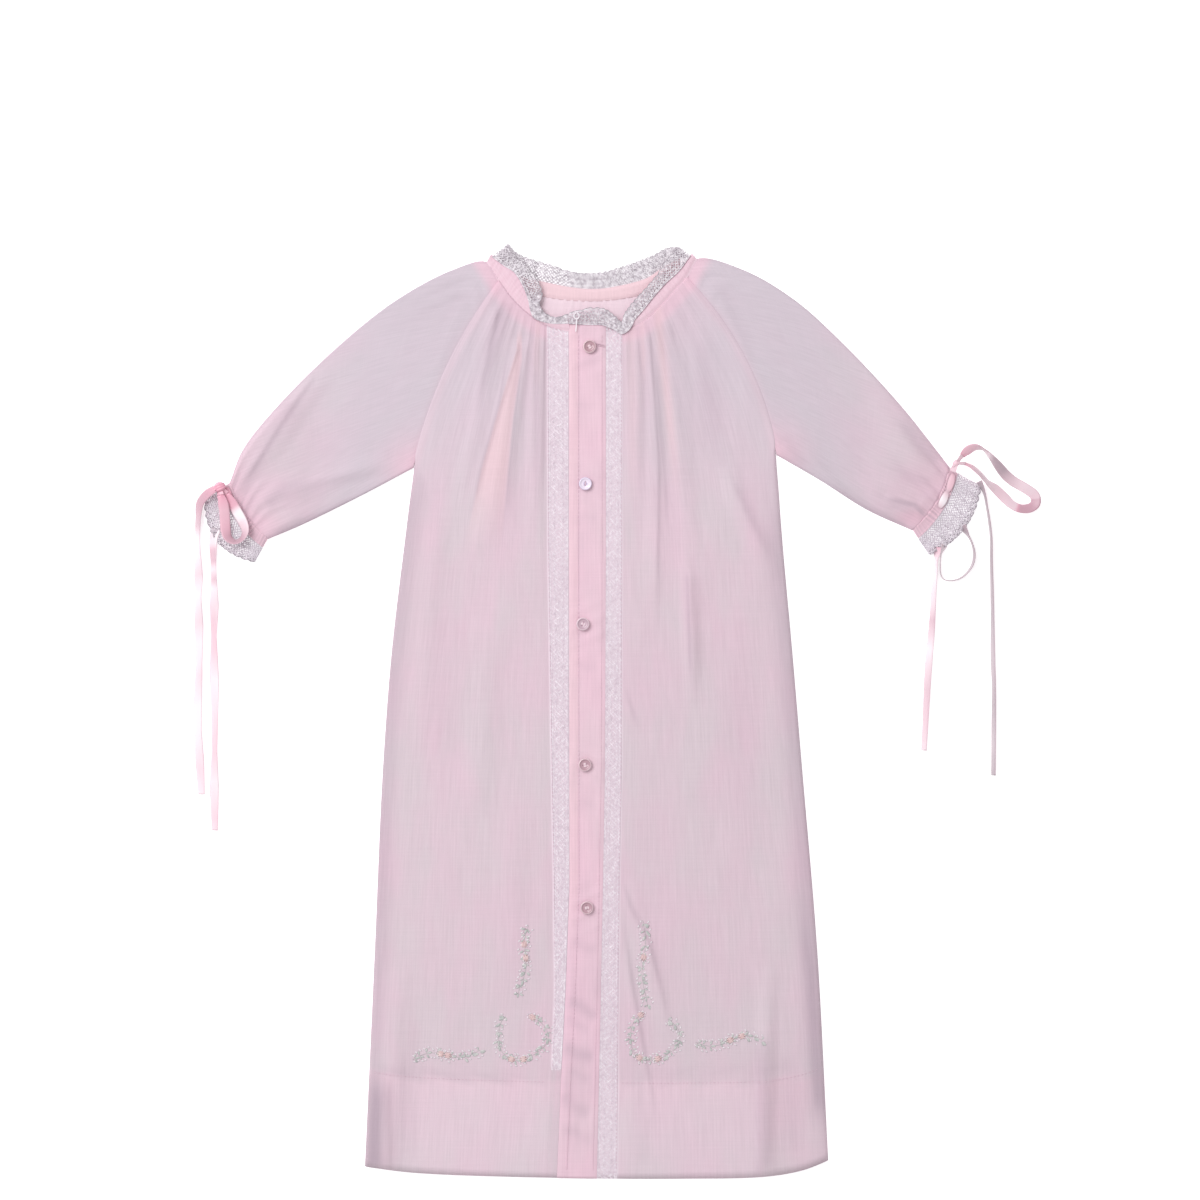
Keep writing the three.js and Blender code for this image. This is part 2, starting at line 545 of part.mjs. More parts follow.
function cuffLaceTube(name) {
  const start = cuffEnds(name, cuffBandWidth + 2 * gap);
  const end = cuffLace[name];
  const steps = 3;
  const waves = 7;
  const rings = [];
  for (let s = 0; s <= steps; s += 1) {
    const t = s / steps;
    const topAt = (f) => {
      const wave = 0.5 - 0.5 * Math.cos(2 * Math.PI * waves * f + 1.2 * Math.sin(5 * f));
      const edges = smooth(f / 0.08) * smooth((1 - f) / 0.08);
      return frontTop + edges * (0.3 + mix(0.5, 1.5, t) * wave);
    };
    const a = mixPoint(start.a, end.under, t);
    const b = mixPoint(start.b, end.shoulder, t);
    rings.push(flatRing(a, b, mix(cuffBow[name], end.bow, t), topAt, waves * 3));
  }
  return tubeGeometry(rings);
}

// threaded ribbon: a strip on the cuff band, from near the knot towards the underarm side
function cuffRibbon(name) {
  const edgeMargin = 1.0;
  const stops = name === 'left' ? [0.16, 0.8] : [0.16, 0.74];
  const base = frontTop + cuffBandRise + gap;
  const columns = 8;
  const row = (distance) => {
    const { a, b } = cuffEnds(name, distance);
    return Array.from({ length: columns + 1 }, (_, i) => {
      const p = bowedPoint(a, b, cuffBow[name], mix(stops[0], stops[1], i / columns));
      const top = base + 0.6 + 0.4 * Math.sin(Math.PI * 4 * (i / columns)) ** 2;
      return { ...p, top, bottom: base };
    });
  };
  return sheetGeometry([row(gap + edgeMargin), row(gap + cuffBandWidth - edgeMargin)]);
}

// a band that lies on the flat strip of a front, between two edges of the trims table;
// startY and endY give the y of its two ends at one x
function trimBand(leftAt, rightAt, startY, endY, wall) {
  const columns = 2;
  const rows = 12;
  const net = [];
  for (let r = 0; r <= rows; r += 1) {
    const row = [];
    for (let c = 0; c <= columns; c += 1) {
      const across = c / columns;
      const y0 = startY(mix(leftAt(necklineY), rightAt(necklineY), across));
      const y1 = endY(mix(leftAt(hemY), rightAt(hemY), across));
      const y = mix(y0, y1, r / rows);
      row.push({ x: mix(leftAt(y), rightAt(y), across), y, top: trimBase + wall, bottom: trimBase });
    }
    net.push(row);
  }
  return sheetGeometry(net);
}

const frontNeckline = {
  left: curveThrough(neck.left),
  right: curveThrough([...neck.right.slice(0, -1), { x: -13.2, y: 217.2 }]),
};

// bias binding beside the neckline, on its neck side
function frontBinding(name) {
  const steps = 18;
  const turn = name === 'left' ? 1 : -1;
  const whole = frontNeckline[name];
  const keep = name === 'left' ? 0.86 : 1;
  const curve = {
    getPointAt: (t) => whole.getPointAt(t * keep),
    getTangentAt: (t) => whole.getTangentAt(t * keep),
  };
  const near = offsetCurve(curve, turn * (gap + 0.2), steps);
  const far = offsetCurve(curve, turn * (gap + bindingWidth), steps);
  const top = bindingTop[name];
  const crown = name === 'left' ? 0.3 : 0.2;
  return sheetGeometry(near.map((p, i) => [
    { ...p, top: top - crown, bottom: frontBase },
    { ...mixPoint(p, far[i], 0.5), top, bottom: frontBase },
    { ...far[i], top: top - crown, bottom: frontBase },
  ]));
}

// binding inside the back neck: a band on the back panel just below its neckline
function backBand() {
  const curve = curveThrough(neck.back);
  const steps = 16;
  const span = [0.1, 0.9];
  return sheetGeometry(Array.from({ length: steps + 1 }, (_, i) => {
    const p = curve.getPointAt(mix(span[0], span[1], i / steps));
    const ends = Math.sin((Math.PI * i) / steps) ** 0.4;
    const drop = mix(3.0, backBandWidth, ends);
    return [
      { x: p.x, y: p.y - gap, top: frontBase + 0.9, bottom: frontBase },
      { x: p.x * 0.99, y: p.y - gap - drop, top: frontBase + 0.9, bottom: frontBase },
    ];
  }));
}

// gathered lace between the line it is sewn along and its free edge; both are tables of points
function laceRuffle({ sewn, free, base, waves, height, steps }) {
  const inner = curveThrough(sewn);
  const outer = curveThrough(free);
  const across = 2;
  return sheetGeometry(Array.from({ length: steps + 1 }, (_, i) => {
    const s = i / steps;
    const a = inner.getPoint(s);
    const b = outer.getPoint(s);
    const wave = 0.5 - 0.5 * Math.cos(2 * Math.PI * waves * s + Math.sin(9 * s));
    return Array.from({ length: across + 1 }, (_row, j) => {
      const t = j / across;
      const bottom = base + height(s) * wave * smooth(t * 0.85 + 0.15);
      return { ...mixPoint(a, b, t), top: bottom + laceWall, bottom };
    });
  }));
}

// each row pairs a point on the sewn line with one on the free edge
const lacePairs = {
  back: [
    { sx: -56.6, sy: 261.2, fx: -49.0, fy: 268.0 }, { sx: -49.2, sy: 250.4, fx: -43.6, fy: 262.4 },
    { sx: -40.4, sy: 246.6, fx: -36.8, fy: 257.6 }, { sx: -18.4, sy: 243.0, fx: -16.4, fy: 251.6 },
    { sx: 4.6, sy: 242.4, fx: 4.6, fy: 250.3 }, { sx: 27.6, sy: 245.0, fx: 25.6, fy: 254.4 },
    { sx: 42.0, sy: 249.0, fx: 37.6, fy: 258.0 }, { sx: 50.0, sy: 252.0, fx: 44.4, fy: 262.0 },
    { sx: 56.2, sy: 262.6, fx: 50.2, fy: 266.4 },
  ],
  left: [
    { sx: -57.0, sy: 259.6, fx: -49.4, fy: 266.6 }, { sx: -49.8, sy: 248.2, fx: -41.0, fy: 257.2 },
    { sx: -42.8, sy: 238.8, fx: -33.0, fy: 246.0 }, { sx: -38.0, sy: 233.8, fx: -28.2, fy: 238.0 },
    { sx: -33.2, sy: 229.8, fx: -26.8, fy: 231.2 }, { sx: -28.4, sy: 226.2, fx: -26.2, fy: 228.4 },
    { sx: -22.6, sy: 223.4, fx: -20.8, fy: 226.4 }, { sx: -14.9, sy: 221.6, fx: -14.4, fy: 227.6 },
  ],
  right: [
    { sx: -13.2, sy: 221.3, fx: -13.0, fy: 228.0 }, { sx: -2.0, sy: 221.1, fx: 1.4, fy: 230.9 },
    { sx: 9.0, sy: 221.5, fx: 10.2, fy: 229.6 }, { sx: 17.2, sy: 223.2, fx: 16.2, fy: 225.4 },
    { sx: 23.6, sy: 225.2, fx: 21.4, fy: 229.4 }, { sx: 29.8, sy: 229.2, fx: 26.6, fy: 234.6 },
    { sx: 36.0, sy: 235.2, fx: 32.4, fy: 240.0 }, { sx: 43.2, sy: 243.2, fx: 38.2, fy: 248.6 },
    { sx: 51.2, sy: 250.8, fx: 42.8, fy: 258.4 }, { sx: 56.8, sy: 261.0, fx: 50.0, fy: 265.4 },
  ],
};
const pairCurves = (rows) => ({
  sewn: rows.map((r) => ({ x: r.sx, y: r.sy })),
  free: rows.map((r) => ({ x: r.fx, y: r.fy })),
});

function buttonGeometry() {
  const { radius, height, rim, dish } = buttonSize;
  const profile = [
    [0, 0], [radius - 0.8, 0], [radius, 0.7], [radius, height - 0.5], [radius - 0.4, height],
    [radius - rim, height], [radius - rim - 0.6, height - dish], [0, height - dish],
  ].map(([r, z]) => new THREE.Vector2(r, z));
  return new THREE.LatheGeometry(profile, 14).rotateX(Math.PI / 2);
}

// a flat ribbon of eight-sided section along a path of { x, y, roll, lift }
function ribbonGeometry(path, stepLength) {
  const rolls = path.map((p) => THREE.MathUtils.degToRad(p.roll));
  const centres = path.map((p, i) => {
    const half = (Math.sin(rolls[i]) * ribbonWidth + Math.cos(rolls[i]) * ribbonWall) / 2;
    return new THREE.Vector3(p.x, p.y, p.lift + half);
  });
  const curve = new THREE.CatmullRomCurve3(centres, false, 'centripetal');
  const steps = Math.ceil(curve.getLength() / stepLength);
  const outline = [
    [1, 0.5], [0.8, 1], [-0.8, 1], [-1, 0.5], [-1, -0.5], [-0.8, -1], [0.8, -1], [1, -0.5],
  ];
  const points = [];
  for (let s = 0; s <= steps; s += 1) {
    const t = s / steps;
    const k = Math.min(path.length - 2, Math.floor(t * (path.length - 1)));
    const roll = mix(rolls[k], rolls[k + 1], t * (path.length - 1) - k);
    const centre = curve.getPoint(t);
    const tangent = curve.getTangent(t).setZ(0).normalize();
    const sideways = new THREE.Vector3(-tangent.y, tangent.x, 0).multiplyScalar(Math.cos(roll));
    sideways.z = Math.sin(roll);
    const face = new THREE.Vector3().crossVectors(tangent, sideways);
    for (const [w, h] of outline) {
      const reach = sideways.clone().multiplyScalar((w * ribbonWidth) / 2);
      const p = centre.clone().add(reach).add(face.clone().multiplyScalar((h * ribbonWall) / 2));
      points.push(p.setZ(Math.max(0, p.z)));
    }
  }
  const n = outline.length;
  const triangles = [];
  for (let s = 0; s < steps; s += 1) {
    for (let i = 0; i < n; i += 1) {
      const a = s * n + i;
      const b = s * n + ((i + 1) % n);
      triangles.push([a, b, b + n], [a, b + n, a + n]);
    }
  }
  const end = steps * n;
  for (let i = 1; i + 1 < n; i += 1) triangles.push([0, i + 1, i], [end, end + i, end + i + 1]);
  return closedGeometry(points, triangles);
}

function knotGeometry({ width, depth, height }) {
  return new THREE.SphereGeometry(0.5, 12, 8).rotateX(Math.PI / 2).scale(width, depth, height);
}

// ---- materials ----
const finish = (color, roughness) => new THREE.MeshStandardMaterial({ color, roughness, metalness: 0 });
const batiste = () => finish(0xe3cddb, 0.9);
const doubleBatiste = () => finish(0xf0d0df, 0.9);
const lace = () => finish(0xebe4ea, 0.95);
const satin = () => finish(0xe8c4d2, 0.35);
const pearl = () => finish(0xd8b6be, 0.25);

// ---- assembly ----
const gown = new THREE.Group();
const clothPieces = [];

function addPiece(name, geometry, material) {
  const mesh = new THREE.Mesh(geometry, material);
  mesh.name = name;
  gown.add(mesh);
  clothPieces.push(mesh);
  return mesh;
}

addPiece('back', backPanel(), batiste());
for (const name of ['left', 'right']) {
  addPiece(`front_${name}`, frontPanel(name), batiste());
  addPiece(`sleeve_${name}`, sleeveTube(name), batiste());
  addPiece(`neck_binding_${name}`, frontBinding(name), doubleBatiste());
  addPiece(`cuff_band_${name}`, cuffBand(name), lace());
  addPiece(`cuff_lace_${name}`, cuffLaceTube(name), lace());
  addPiece(`cuff_ribbon_${name}`, cuffRibbon(name), satin());
}
addPiece('neck_binding_back', backBand(), doubleBatiste());

const hemAtX = (x) => heightOn(hemCurve, x);
const { laceLeft, placketLeft, placketRight, laceRight } = trimCurves;
const line = (x0, y0, x1, y1) => (x) => mix(y0, y1, (x - x0) / (x1 - x0));
const trimBands = {
  placket: {
    edges: [placketLeft, placketRight], start: () => necklineY, end: hemAtX, wall: placketWall,
    material: doubleBatiste(),
  },
  lace_band_left: {
    edges: [laceLeft, (y) => placketLeft(y) - gap], start: line(-25.9, 220.2, -13.5, 216.8),
    end: () => leftLaceEnd, wall: laceWall, material: lace(),
  },
  lace_band_right: {
    edges: [(y) => placketRight(y) + gap, laceRight], start: line(7.8, 216.9, 17.3, 218.0),
    end: hemAtX, wall: laceWall, material: lace(),
  },
};
for (const [name, band] of Object.entries(trimBands)) {
  addPiece(name, trimBand(...band.edges, band.start, band.end, band.wall), band.material);
}

const evenHeight = () => 1.8;
const backHeight = (s) => 1.2 + 0.8 * Math.sin(Math.PI * s) ** 4;
const laceRuffles = {
  back: { base: 0, waves: 11, height: backHeight, steps: 44 },
  left: { base: laceUnderside, waves: 6, height: evenHeight, steps: 26 },
  right: { base: laceUnderside + 0.1, waves: 7, height: evenHeight, steps: 30 },
};
for (const [name, ruffle] of Object.entries(laceRuffles)) {
  addPiece(`neck_lace_${name}`, laceRuffle({ ...pairCurves(lacePairs[name]), ...ruffle }), lace());
}

buttonPlaces.forEach((place, i) => {
  const button = addPiece(`button_${i + 1}`, buttonGeometry(), pearl());
  button.position.set(place.x, place.y, trimBase + placketWall + gap);
});

// the gown's own box, without its free ribbons, sits centred over the origin
const box = new THREE.Box3();
for (const piece of clothPieces) box.expandByObject(piece);
const centre = box.getCenter(new THREE.Vector3());

for (const [name, path] of Object.entries(ribbons)) {
  addPiece(name, ribbonGeometry(path, name.includes('loop') ? loopStep : tailStep), satin());
}
for (const [name, knot] of Object.entries(knots)) {
  const mesh = addPiece(name, knotGeometry(knot), satin());
  mesh.position.set(knot.x, knot.y, knot.lift + knot.height / 2);
  mesh.rotation.z = THREE.MathUtils.degToRad(knot.turn);
}

gown.position.set(-centre.x, -centre.y, -box.min.z);

export default gown;
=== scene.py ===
import bpy
import numpy as np
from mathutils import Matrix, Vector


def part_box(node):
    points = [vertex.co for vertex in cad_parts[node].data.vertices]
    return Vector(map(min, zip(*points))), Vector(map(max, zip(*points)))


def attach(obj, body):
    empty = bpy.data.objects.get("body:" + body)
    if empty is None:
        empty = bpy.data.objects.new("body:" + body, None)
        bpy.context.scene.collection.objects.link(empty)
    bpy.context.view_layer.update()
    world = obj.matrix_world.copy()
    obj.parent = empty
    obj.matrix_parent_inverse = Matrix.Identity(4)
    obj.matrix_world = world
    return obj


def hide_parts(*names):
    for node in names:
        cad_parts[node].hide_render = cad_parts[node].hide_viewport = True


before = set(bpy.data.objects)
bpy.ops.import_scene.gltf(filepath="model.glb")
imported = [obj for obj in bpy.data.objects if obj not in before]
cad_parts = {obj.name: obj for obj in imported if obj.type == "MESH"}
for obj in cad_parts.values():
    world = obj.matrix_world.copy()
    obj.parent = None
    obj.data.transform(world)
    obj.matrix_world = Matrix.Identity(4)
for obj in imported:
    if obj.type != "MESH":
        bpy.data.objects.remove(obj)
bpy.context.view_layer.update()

cloth = 1.0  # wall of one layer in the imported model
gap = 0.3
frontTop = 2 * cloth + gap  # upper face of a front where it lies flat
trimBase = frontTop + gap
placketTop = trimBase + 1.2
shellWall = 0.5  # wall of the cloth shown here
firstButton = (-1.4, 208.4)

low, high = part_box("button_1")
buttonMiddle = (low + high) * 500
gownShift = np.array([buttonMiddle.x - firstButton[0], buttonMiddle.y - firstButton[1], 0.0])


def toFrame(points):
    return (np.asarray(points, float) + gownShift) / 1000


# ---- small maths ----
def mix(a, b, t):
    return a + (b - a) * t


def smooth(t):
    # three t squared minus two t cubed, held between 0 and 1
    t = np.clip(t, 0, 1)
    return t * t * (3 - 2 * t)


def bell(distance, width):
    # e to the minus (distance over width) squared
    return np.exp(-((distance / width) ** 2))


def humps(turns):
    # half of one minus the cosine: 0 at whole turns and 1 between them
    return 0.5 - 0.5 * np.cos(2 * np.pi * turns)


def fading(share, start, stop):
    # 1 along most of a line, 0 at its ends; start and stop are the shares it takes to get there
    return smooth(share / start) * smooth((1 - share) / stop)


def turnedBy(x, y, angle):
    # x and y turned about the upright
    c, s = np.cos(angle), np.sin(angle)
    return x * c - y * s, x * s + y * c


def noise(x, y, seed, size):
    # six plane sine waves in fixed random directions, with wavelengths near size, summed to
    # about -1 to 1
    rng = np.random.default_rng(seed)
    total = 0 * x
    for angle, stretch, phase in zip(rng.uniform(0, 2 * np.pi, 6), rng.uniform(0.7, 1.5, 6),
                                     rng.uniform(0, 2 * np.pi, 6)):
        reach = 2 * np.pi * (x * np.cos(angle) + y * np.sin(angle)) / (size * stretch)
        total = total + np.sin(reach + phase)
    return total / 3.5


def curveThrough(points):
    # centripetal Catmull-Rom spline: point at a share of the number of spans
    knots = np.array(points, float)
    padded = np.vstack([2 * knots[0] - knots[1], knots, 2 * knots[-1] - knots[-2]])

    def at(share):
        place = np.clip(np.asarray(share, float), 0, 1) * (len(knots) - 1)
        k = np.minimum(place.astype(int), len(knots) - 2)
        w = (place - k)[..., None]
        p0, p1, p2, p3 = (padded[k + i] for i in range(4))
        d0, d1, d2 = (np.sum((b - a) ** 2, -1, keepdims=True) ** 0.25
                      for a, b in ((p0, p1), (p1, p2), (p2, p3)))
        t1 = ((p1 - p0) / d0 - (p2 - p0) / (d0 + d1) + (p2 - p1) / d1) * d1
        t2 = ((p2 - p1) / d1 - (p3 - p1) / (d1 + d2) + (p3 - p2) / d2) * d1
        c2 = -3 * p1 + 3 * p2 - 2 * t1 - t2
        c3 = 2 * p1 - 2 * p2 + t1 + t2
        return p1 + t1 * w + c2 * w**2 + c3 * w**3
    return at


def lengthsAlong(line):
    # the length travelled from the first point of a line to each of its points
    return np.concatenate([[0], np.cumsum(np.linalg.norm(np.diff(line, axis=0), axis=1))])


def byLength(curve, samples=600):
    # the same curve, asked for by share of its length
    shares = np.linspace(0, 1, samples)
    travelled = lengthsAlong(curve(shares))
    return lambda share: curve(np.interp(share, travelled / travelled[-1], shares)), travelled[-1]


def shareOfLength(curve, samples=2000):
    # how far along its length each even share of the curve lies
    travelled = lengthsAlong(curve(np.linspace(0, 1, samples)))
    return travelled / travelled[-1]


def withHeight(plan, z):
    # x and y with a height added
    return np.concatenate([plan, z[..., None]], -1)


def heightOn(curve, x):
    # y of a curve that runs from left to right, at each x
    line = curve(np.linspace(0, 1, 800))
    return np.interp(x, line[:, 0], line[:, 1])


def bowedPoint(a, b, bow, t):
    # point on the line from a to b, pushed sideways by a parabola of height bow
    a, b, t = np.asarray(a, float), np.asarray(b, float), np.asarray(t, float)[..., None]
    along = b - a
    length = np.linalg.norm(along, axis=-1, keepdims=True)
    across = np.stack([-along[..., 1], along[..., 0]], -1) / length
    return a + along * t + across * np.asarray(bow)[..., None] * 4 * t * (1 - t)


# ---- mesh makers ----
def placed(name, data):
    made = bpy.data.objects.new(name, data)
    bpy.context.collection.objects.link(made)
    return made


def addMesh(name, points, faceSets, values=None, grain=None):
    # points in gown millimetres; each face set holds corner numbers, one row a face
    corners = np.concatenate([f.ravel() for f in faceSets]).astype(np.int32)
    totals = np.concatenate([np.full(len(f), f.shape[1]) for f in faceSets])
    starts = (np.cumsum(totals) - totals).astype(np.int32)
    mesh = bpy.data.meshes.new(name)
    mesh.vertices.add(len(points))
    mesh.vertices.foreach_set("co", toFrame(points).ravel())
    mesh.loops.add(len(corners))
    mesh.loops.foreach_set("vertex_index", corners)
    mesh.polygons.add(len(totals))
    mesh.polygons.foreach_set("loop_start", starts)
    mesh.update(calc_edges=True)
    for key, column in (values or {}).items():
        mesh.attributes.new(key, "FLOAT", "POINT").data.foreach_set("value", column.ravel())
    if grain is not None:
        layer = mesh.uv_layers.new(name="grain")
        layer.data.foreach_set("uv", grain.reshape(-1, 2)[corners].ravel())
    mesh.shade_smooth()
    return placed(name, mesh)


def volumeOf(points, quads):
    a, b, c, d = (points[quads[:, i]] for i in range(4))
    return np.sum(a * np.cross(b, c)) + np.sum(a * np.cross(c, d))


def ringWall(index):
    # faces between neighbouring rings; the last axis of the corner numbers runs round a ring
    near, far = index[..., :-1, :], index[..., 1:, :]
    return np.stack([near, far, np.roll(far, -1, -1), np.roll(near, -1, -1)], -1).reshape(-1, 4)


def facingOut(points, wall, caps):
    # a closed wall and its caps, turned round where the wall faces inwards
    if volumeOf(points, wall) < 0:
        wall, caps = wall[:, ::-1], [cap[:, ::-1] for cap in caps]
    return points, [wall] + caps


def shellParts(top, bottom):
    # closed wall between two grids of points: both faces and the rim round them
    rows, columns = top.shape[:2]
    count = rows * columns
    index = np.arange(count).reshape(rows, columns)
    quads = np.stack([index[:-1, :-1], index[1:, :-1], index[1:, 1:], index[:-1, 1:]],
                     -1).reshape(-1, 4)
    rim = np.concatenate([index[0, :-1], index[:-1, -1], index[-1, :0:-1], index[:0:-1, 0]])
    following = np.roll(rim, -1)
    sides = np.stack([following, rim, rim + count, following + count], -1)
    points = np.concatenate([top.reshape(-1, 3), bottom.reshape(-1, 3)])
    faces = np.concatenate([quads, quads[:, ::-1] + count, sides[:, ::-1]])
    return points, faces if volumeOf(points, faces) > 0 else faces[:, ::-1]


def walled(name, parts, values, grain):
    # a mesh whose second half repeats the values and the grain of its first half
    points, faces = parts
    return addMesh(name, points, [faces],
                   {key: np.tile(column.ravel(), 2) for key, column in values.items()},
                   np.tile(grain.reshape(-1, 2), (2, 1)))


def shell(name, top, bottom, values, grain):
    return walled(name, shellParts(top, bottom), values, grain)


def tubeParts(outer, inner):
    # closed wall between an outer and an inner set of rings, open at both ends
    rings, count = outer.shape[:2]
    index = np.arange(rings * count).reshape(rings, count)
    wall = ringWall(index)[:, [0, 3, 2, 1]]
    shift = rings * count
    first, last = index[0], index[-1]
    mouth = np.stack([first, first + shift, np.roll(first, -1) + shift, np.roll(first, -1)], -1)
    end = np.stack([last, np.roll(last, -1), np.roll(last, -1) + shift, last + shift], -1)
    points = np.concatenate([outer.reshape(-1, 3), inner.reshape(-1, 3)])
    faces = np.concatenate([wall, wall[:, ::-1] + shift, mouth, end])
    return points, faces if volumeOf(points, faces) > 0 else faces[:, ::-1]


def threadParts(paths, radius, sides, flat=1.0, start=0.25):
    # circles of a few corners carried along each path, their ends closed; flat squashes them in
    # height, and start turns the first corner by that share of one side
    paths = np.asarray(paths, float)
    count, steps = paths.shape[:2]
    tangent = np.gradient(paths, axis=1)
    tangent /= np.linalg.norm(tangent, axis=-1, keepdims=True) + 1e-9
    sideways = np.cross(tangent, [0.0, 0.0, 1.0])
    sideways /= np.linalg.norm(sideways, axis=-1, keepdims=True) + 1e-9
    rise = np.cross(sideways, tangent)
    angle = 2 * np.pi * (np.arange(sides) + start) / sides
    radius = np.broadcast_to(np.asarray(radius, float), (count, steps))[..., None, None]
    ring = paths[:, :, None] + radius * (np.cos(angle)[:, None] * sideways[:, :, None]
                                         + flat * np.sin(angle)[:, None] * rise[:, :, None])
    index = np.arange(count * steps * sides).reshape(count, steps, sides)
    return facingOut(ring.reshape(-1, 3), ringWall(index), [index[:, 0], index[:, -1, ::-1]])


def beadParts(middles, sizes, turns, rings, around):
    # small ellipsoids: a low ball scaled by sizes (three half lengths), turned flat and moved
    middles, sizes, turns = (np.asarray(a, float) for a in (middles, sizes, turns))
    up = np.pi * (np.arange(rings) + 0.5) / rings
    about = 2 * np.pi * np.arange(around) / around
    ball = np.stack([np.outer(np.sin(up), np.cos(about)), np.outer(np.sin(up), np.sin(about)),
                     np.outer(np.cos(up), np.ones(around))], -1).reshape(-1, 3)
    x, y, z = np.moveaxis(ball * sizes[:, None], -1, 0)
    turned = np.stack([*turnedBy(x, y, turns[:, None]), z], -1)
    points = (turned + middles[:, None]).reshape(-1, 3)
    index = np.arange(len(middles) * rings * around).reshape(len(middles), rings, around)
    return points, [ringWall(index), index[:, 0], index[:, -1, ::-1]]


def joined(parts):
    # several (points, face sets) made one
    points, faces, start = [], [], 0
    for some, sets in parts:
        points.append(some)
        faces.extend(f + start for f in (sets if isinstance(sets, list) else [sets]))
        start += len(some)
    return np.concatenate(points), faces


def marked(parts, marks):
    # a column that gives every point of each part the part's own mark
    return {"mark": np.concatenate([np.full(len(some), float(mark))
                                    for (some, _), mark in zip(parts, marks)])}


def dressed(piece, material, slot, *nodes):
    # the finish, the material slot (not used) and the imported pieces that this one stands for
    piece.data.materials.append(material)
    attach(piece, "root")
    if nodes:
        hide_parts(*nodes)
    return piece


# ---- finishes ----
class Value:
    # one output of a shader node; arithmetic on it adds Math nodes
    def __init__(self, shader, socket):
        self.shader, self.socket = shader, socket

    def maths(self, operation, first, second):
        return self.shader.node("ShaderNodeMath", {"operation": operation}, [first, second])

    def __add__(self, other):
        return self.maths("ADD", self, other)

    def __sub__(self, other):
        return self.maths("SUBTRACT", self, other)

    def __rsub__(self, other):
        return self.maths("SUBTRACT", other, self)

    def __mul__(self, other):
        return self.maths("MULTIPLY", self, other)

    __radd__, __rmul__ = __add__, __mul__


class Shader:
    # a material under construction
    def __init__(self, name, **fixed):
        self.material = bpy.data.materials.new(name)
        self.material.use_nodes = True
        self.nodes, self.links = self.material.node_tree.nodes, self.material.node_tree.links
        self.surface = self.nodes["Principled BSDF"]
        for socket, value in fixed.items():
            self.surface.inputs[socket.replace("_", " ")].default_value = value

    def node(self, kind, settings=None, inputs=(), output=0):
        made = self.nodes.new(kind)
        for key, value in (settings or {}).items():
            setattr(made, key, value)
        pairs = inputs.items() if isinstance(inputs, dict) else enumerate(inputs)
        for key, value in pairs:
            if isinstance(value, Value):
                self.links.new(value.socket, made.inputs[key])
            else:
                made.inputs[key].default_value = value
        return Value(self, made.outputs[output])

    def attribute(self, name):
        return self.node("ShaderNodeAttribute", {"attribute_name": name}, output="Fac")

    def blend(self, share, first, second):
        # colour mix: sockets 6 and 7 are the two colours, output 2 the blended one
        return self.node("ShaderNodeMix", {"data_type": "RGBA"},
                         {0: share, 6: first, 7: second}, 2)

    def scaled(self, tone, amount):
        return self.node("ShaderNodeVectorMath", {"operation": "SCALE"}, {0: tone, 3: amount})

    def spread(self, cloud, low, high):
        # a cloud stretched so that low becomes 0 and high becomes 1
        return self.node("ShaderNodeMapRange", {}, [cloud, low, high, 0.0, 1.0])

    def grain(self):
        return self.node("ShaderNodeUVMap", {"uv_map": "grain"})

    def place(self):
        return self.node("ShaderNodeTexCoord", {}, [], "Object")

    def cloud(self, where, scale, detail):
        return self.node("ShaderNodeTexNoise", {},
                         {"Vector": where, "Scale": scale, "Detail": detail}, "Fac")

    def streaks(self, where, scales, detail):
        # clouds with a scale for each axis
        mapped = self.node("ShaderNodeMapping", {}, {"Vector": where, "Scale": scales})
        return self.cloud(mapped, 1.0, detail)

    def feed(self, socket, value):
        self.links.new(value.socket, self.surface.inputs[socket])

    def bump(self, height, distance, strength):
        self.feed("Normal", self.node("ShaderNodeBump", {}, {
            "Strength": strength, "Distance": distance, "Height": height}))


def colour(red, green, blue):
    # display values 0 to 255 to linear light, at the studio's brightness
    return tuple(((v / 255) ** 2.2) / studio["cloudLight"] for v in (red, green, blue)) + (1.0,)


studio = {
    "cloudLight": 1.14,  # a white surface facing the lights comes out this bright
    "world": 0.65,
    "keyPower": 37.0,
    "keyPlace": (-1.1, 0.9, 1.9),
    "keySize": 1.4,
    "cameraHeight": 2.0,
    "frameWidth": 0.69,
    "frameMiddle": (0.0041, 0.0637),
    "floorReach": 3.0,
    "floorHeight": -0.0002,
}


def weaveOf(shader, pitch=0.42):
    # plain weave: product of two sines of the grain coordinates, which are in millimetres
    grain = shader.grain()
    apart = shader.node("ShaderNodeSeparateXYZ", {}, [grain])
    other = Value(shader, apart.socket.node.outputs[1])
    turn = 2 * np.pi / pitch
    sines = [shader.node("ShaderNodeMath", {"operation": "SINE"}, [axis * turn])
             for axis in (apart, other)]
    return grain, sines[0] * sines[1]


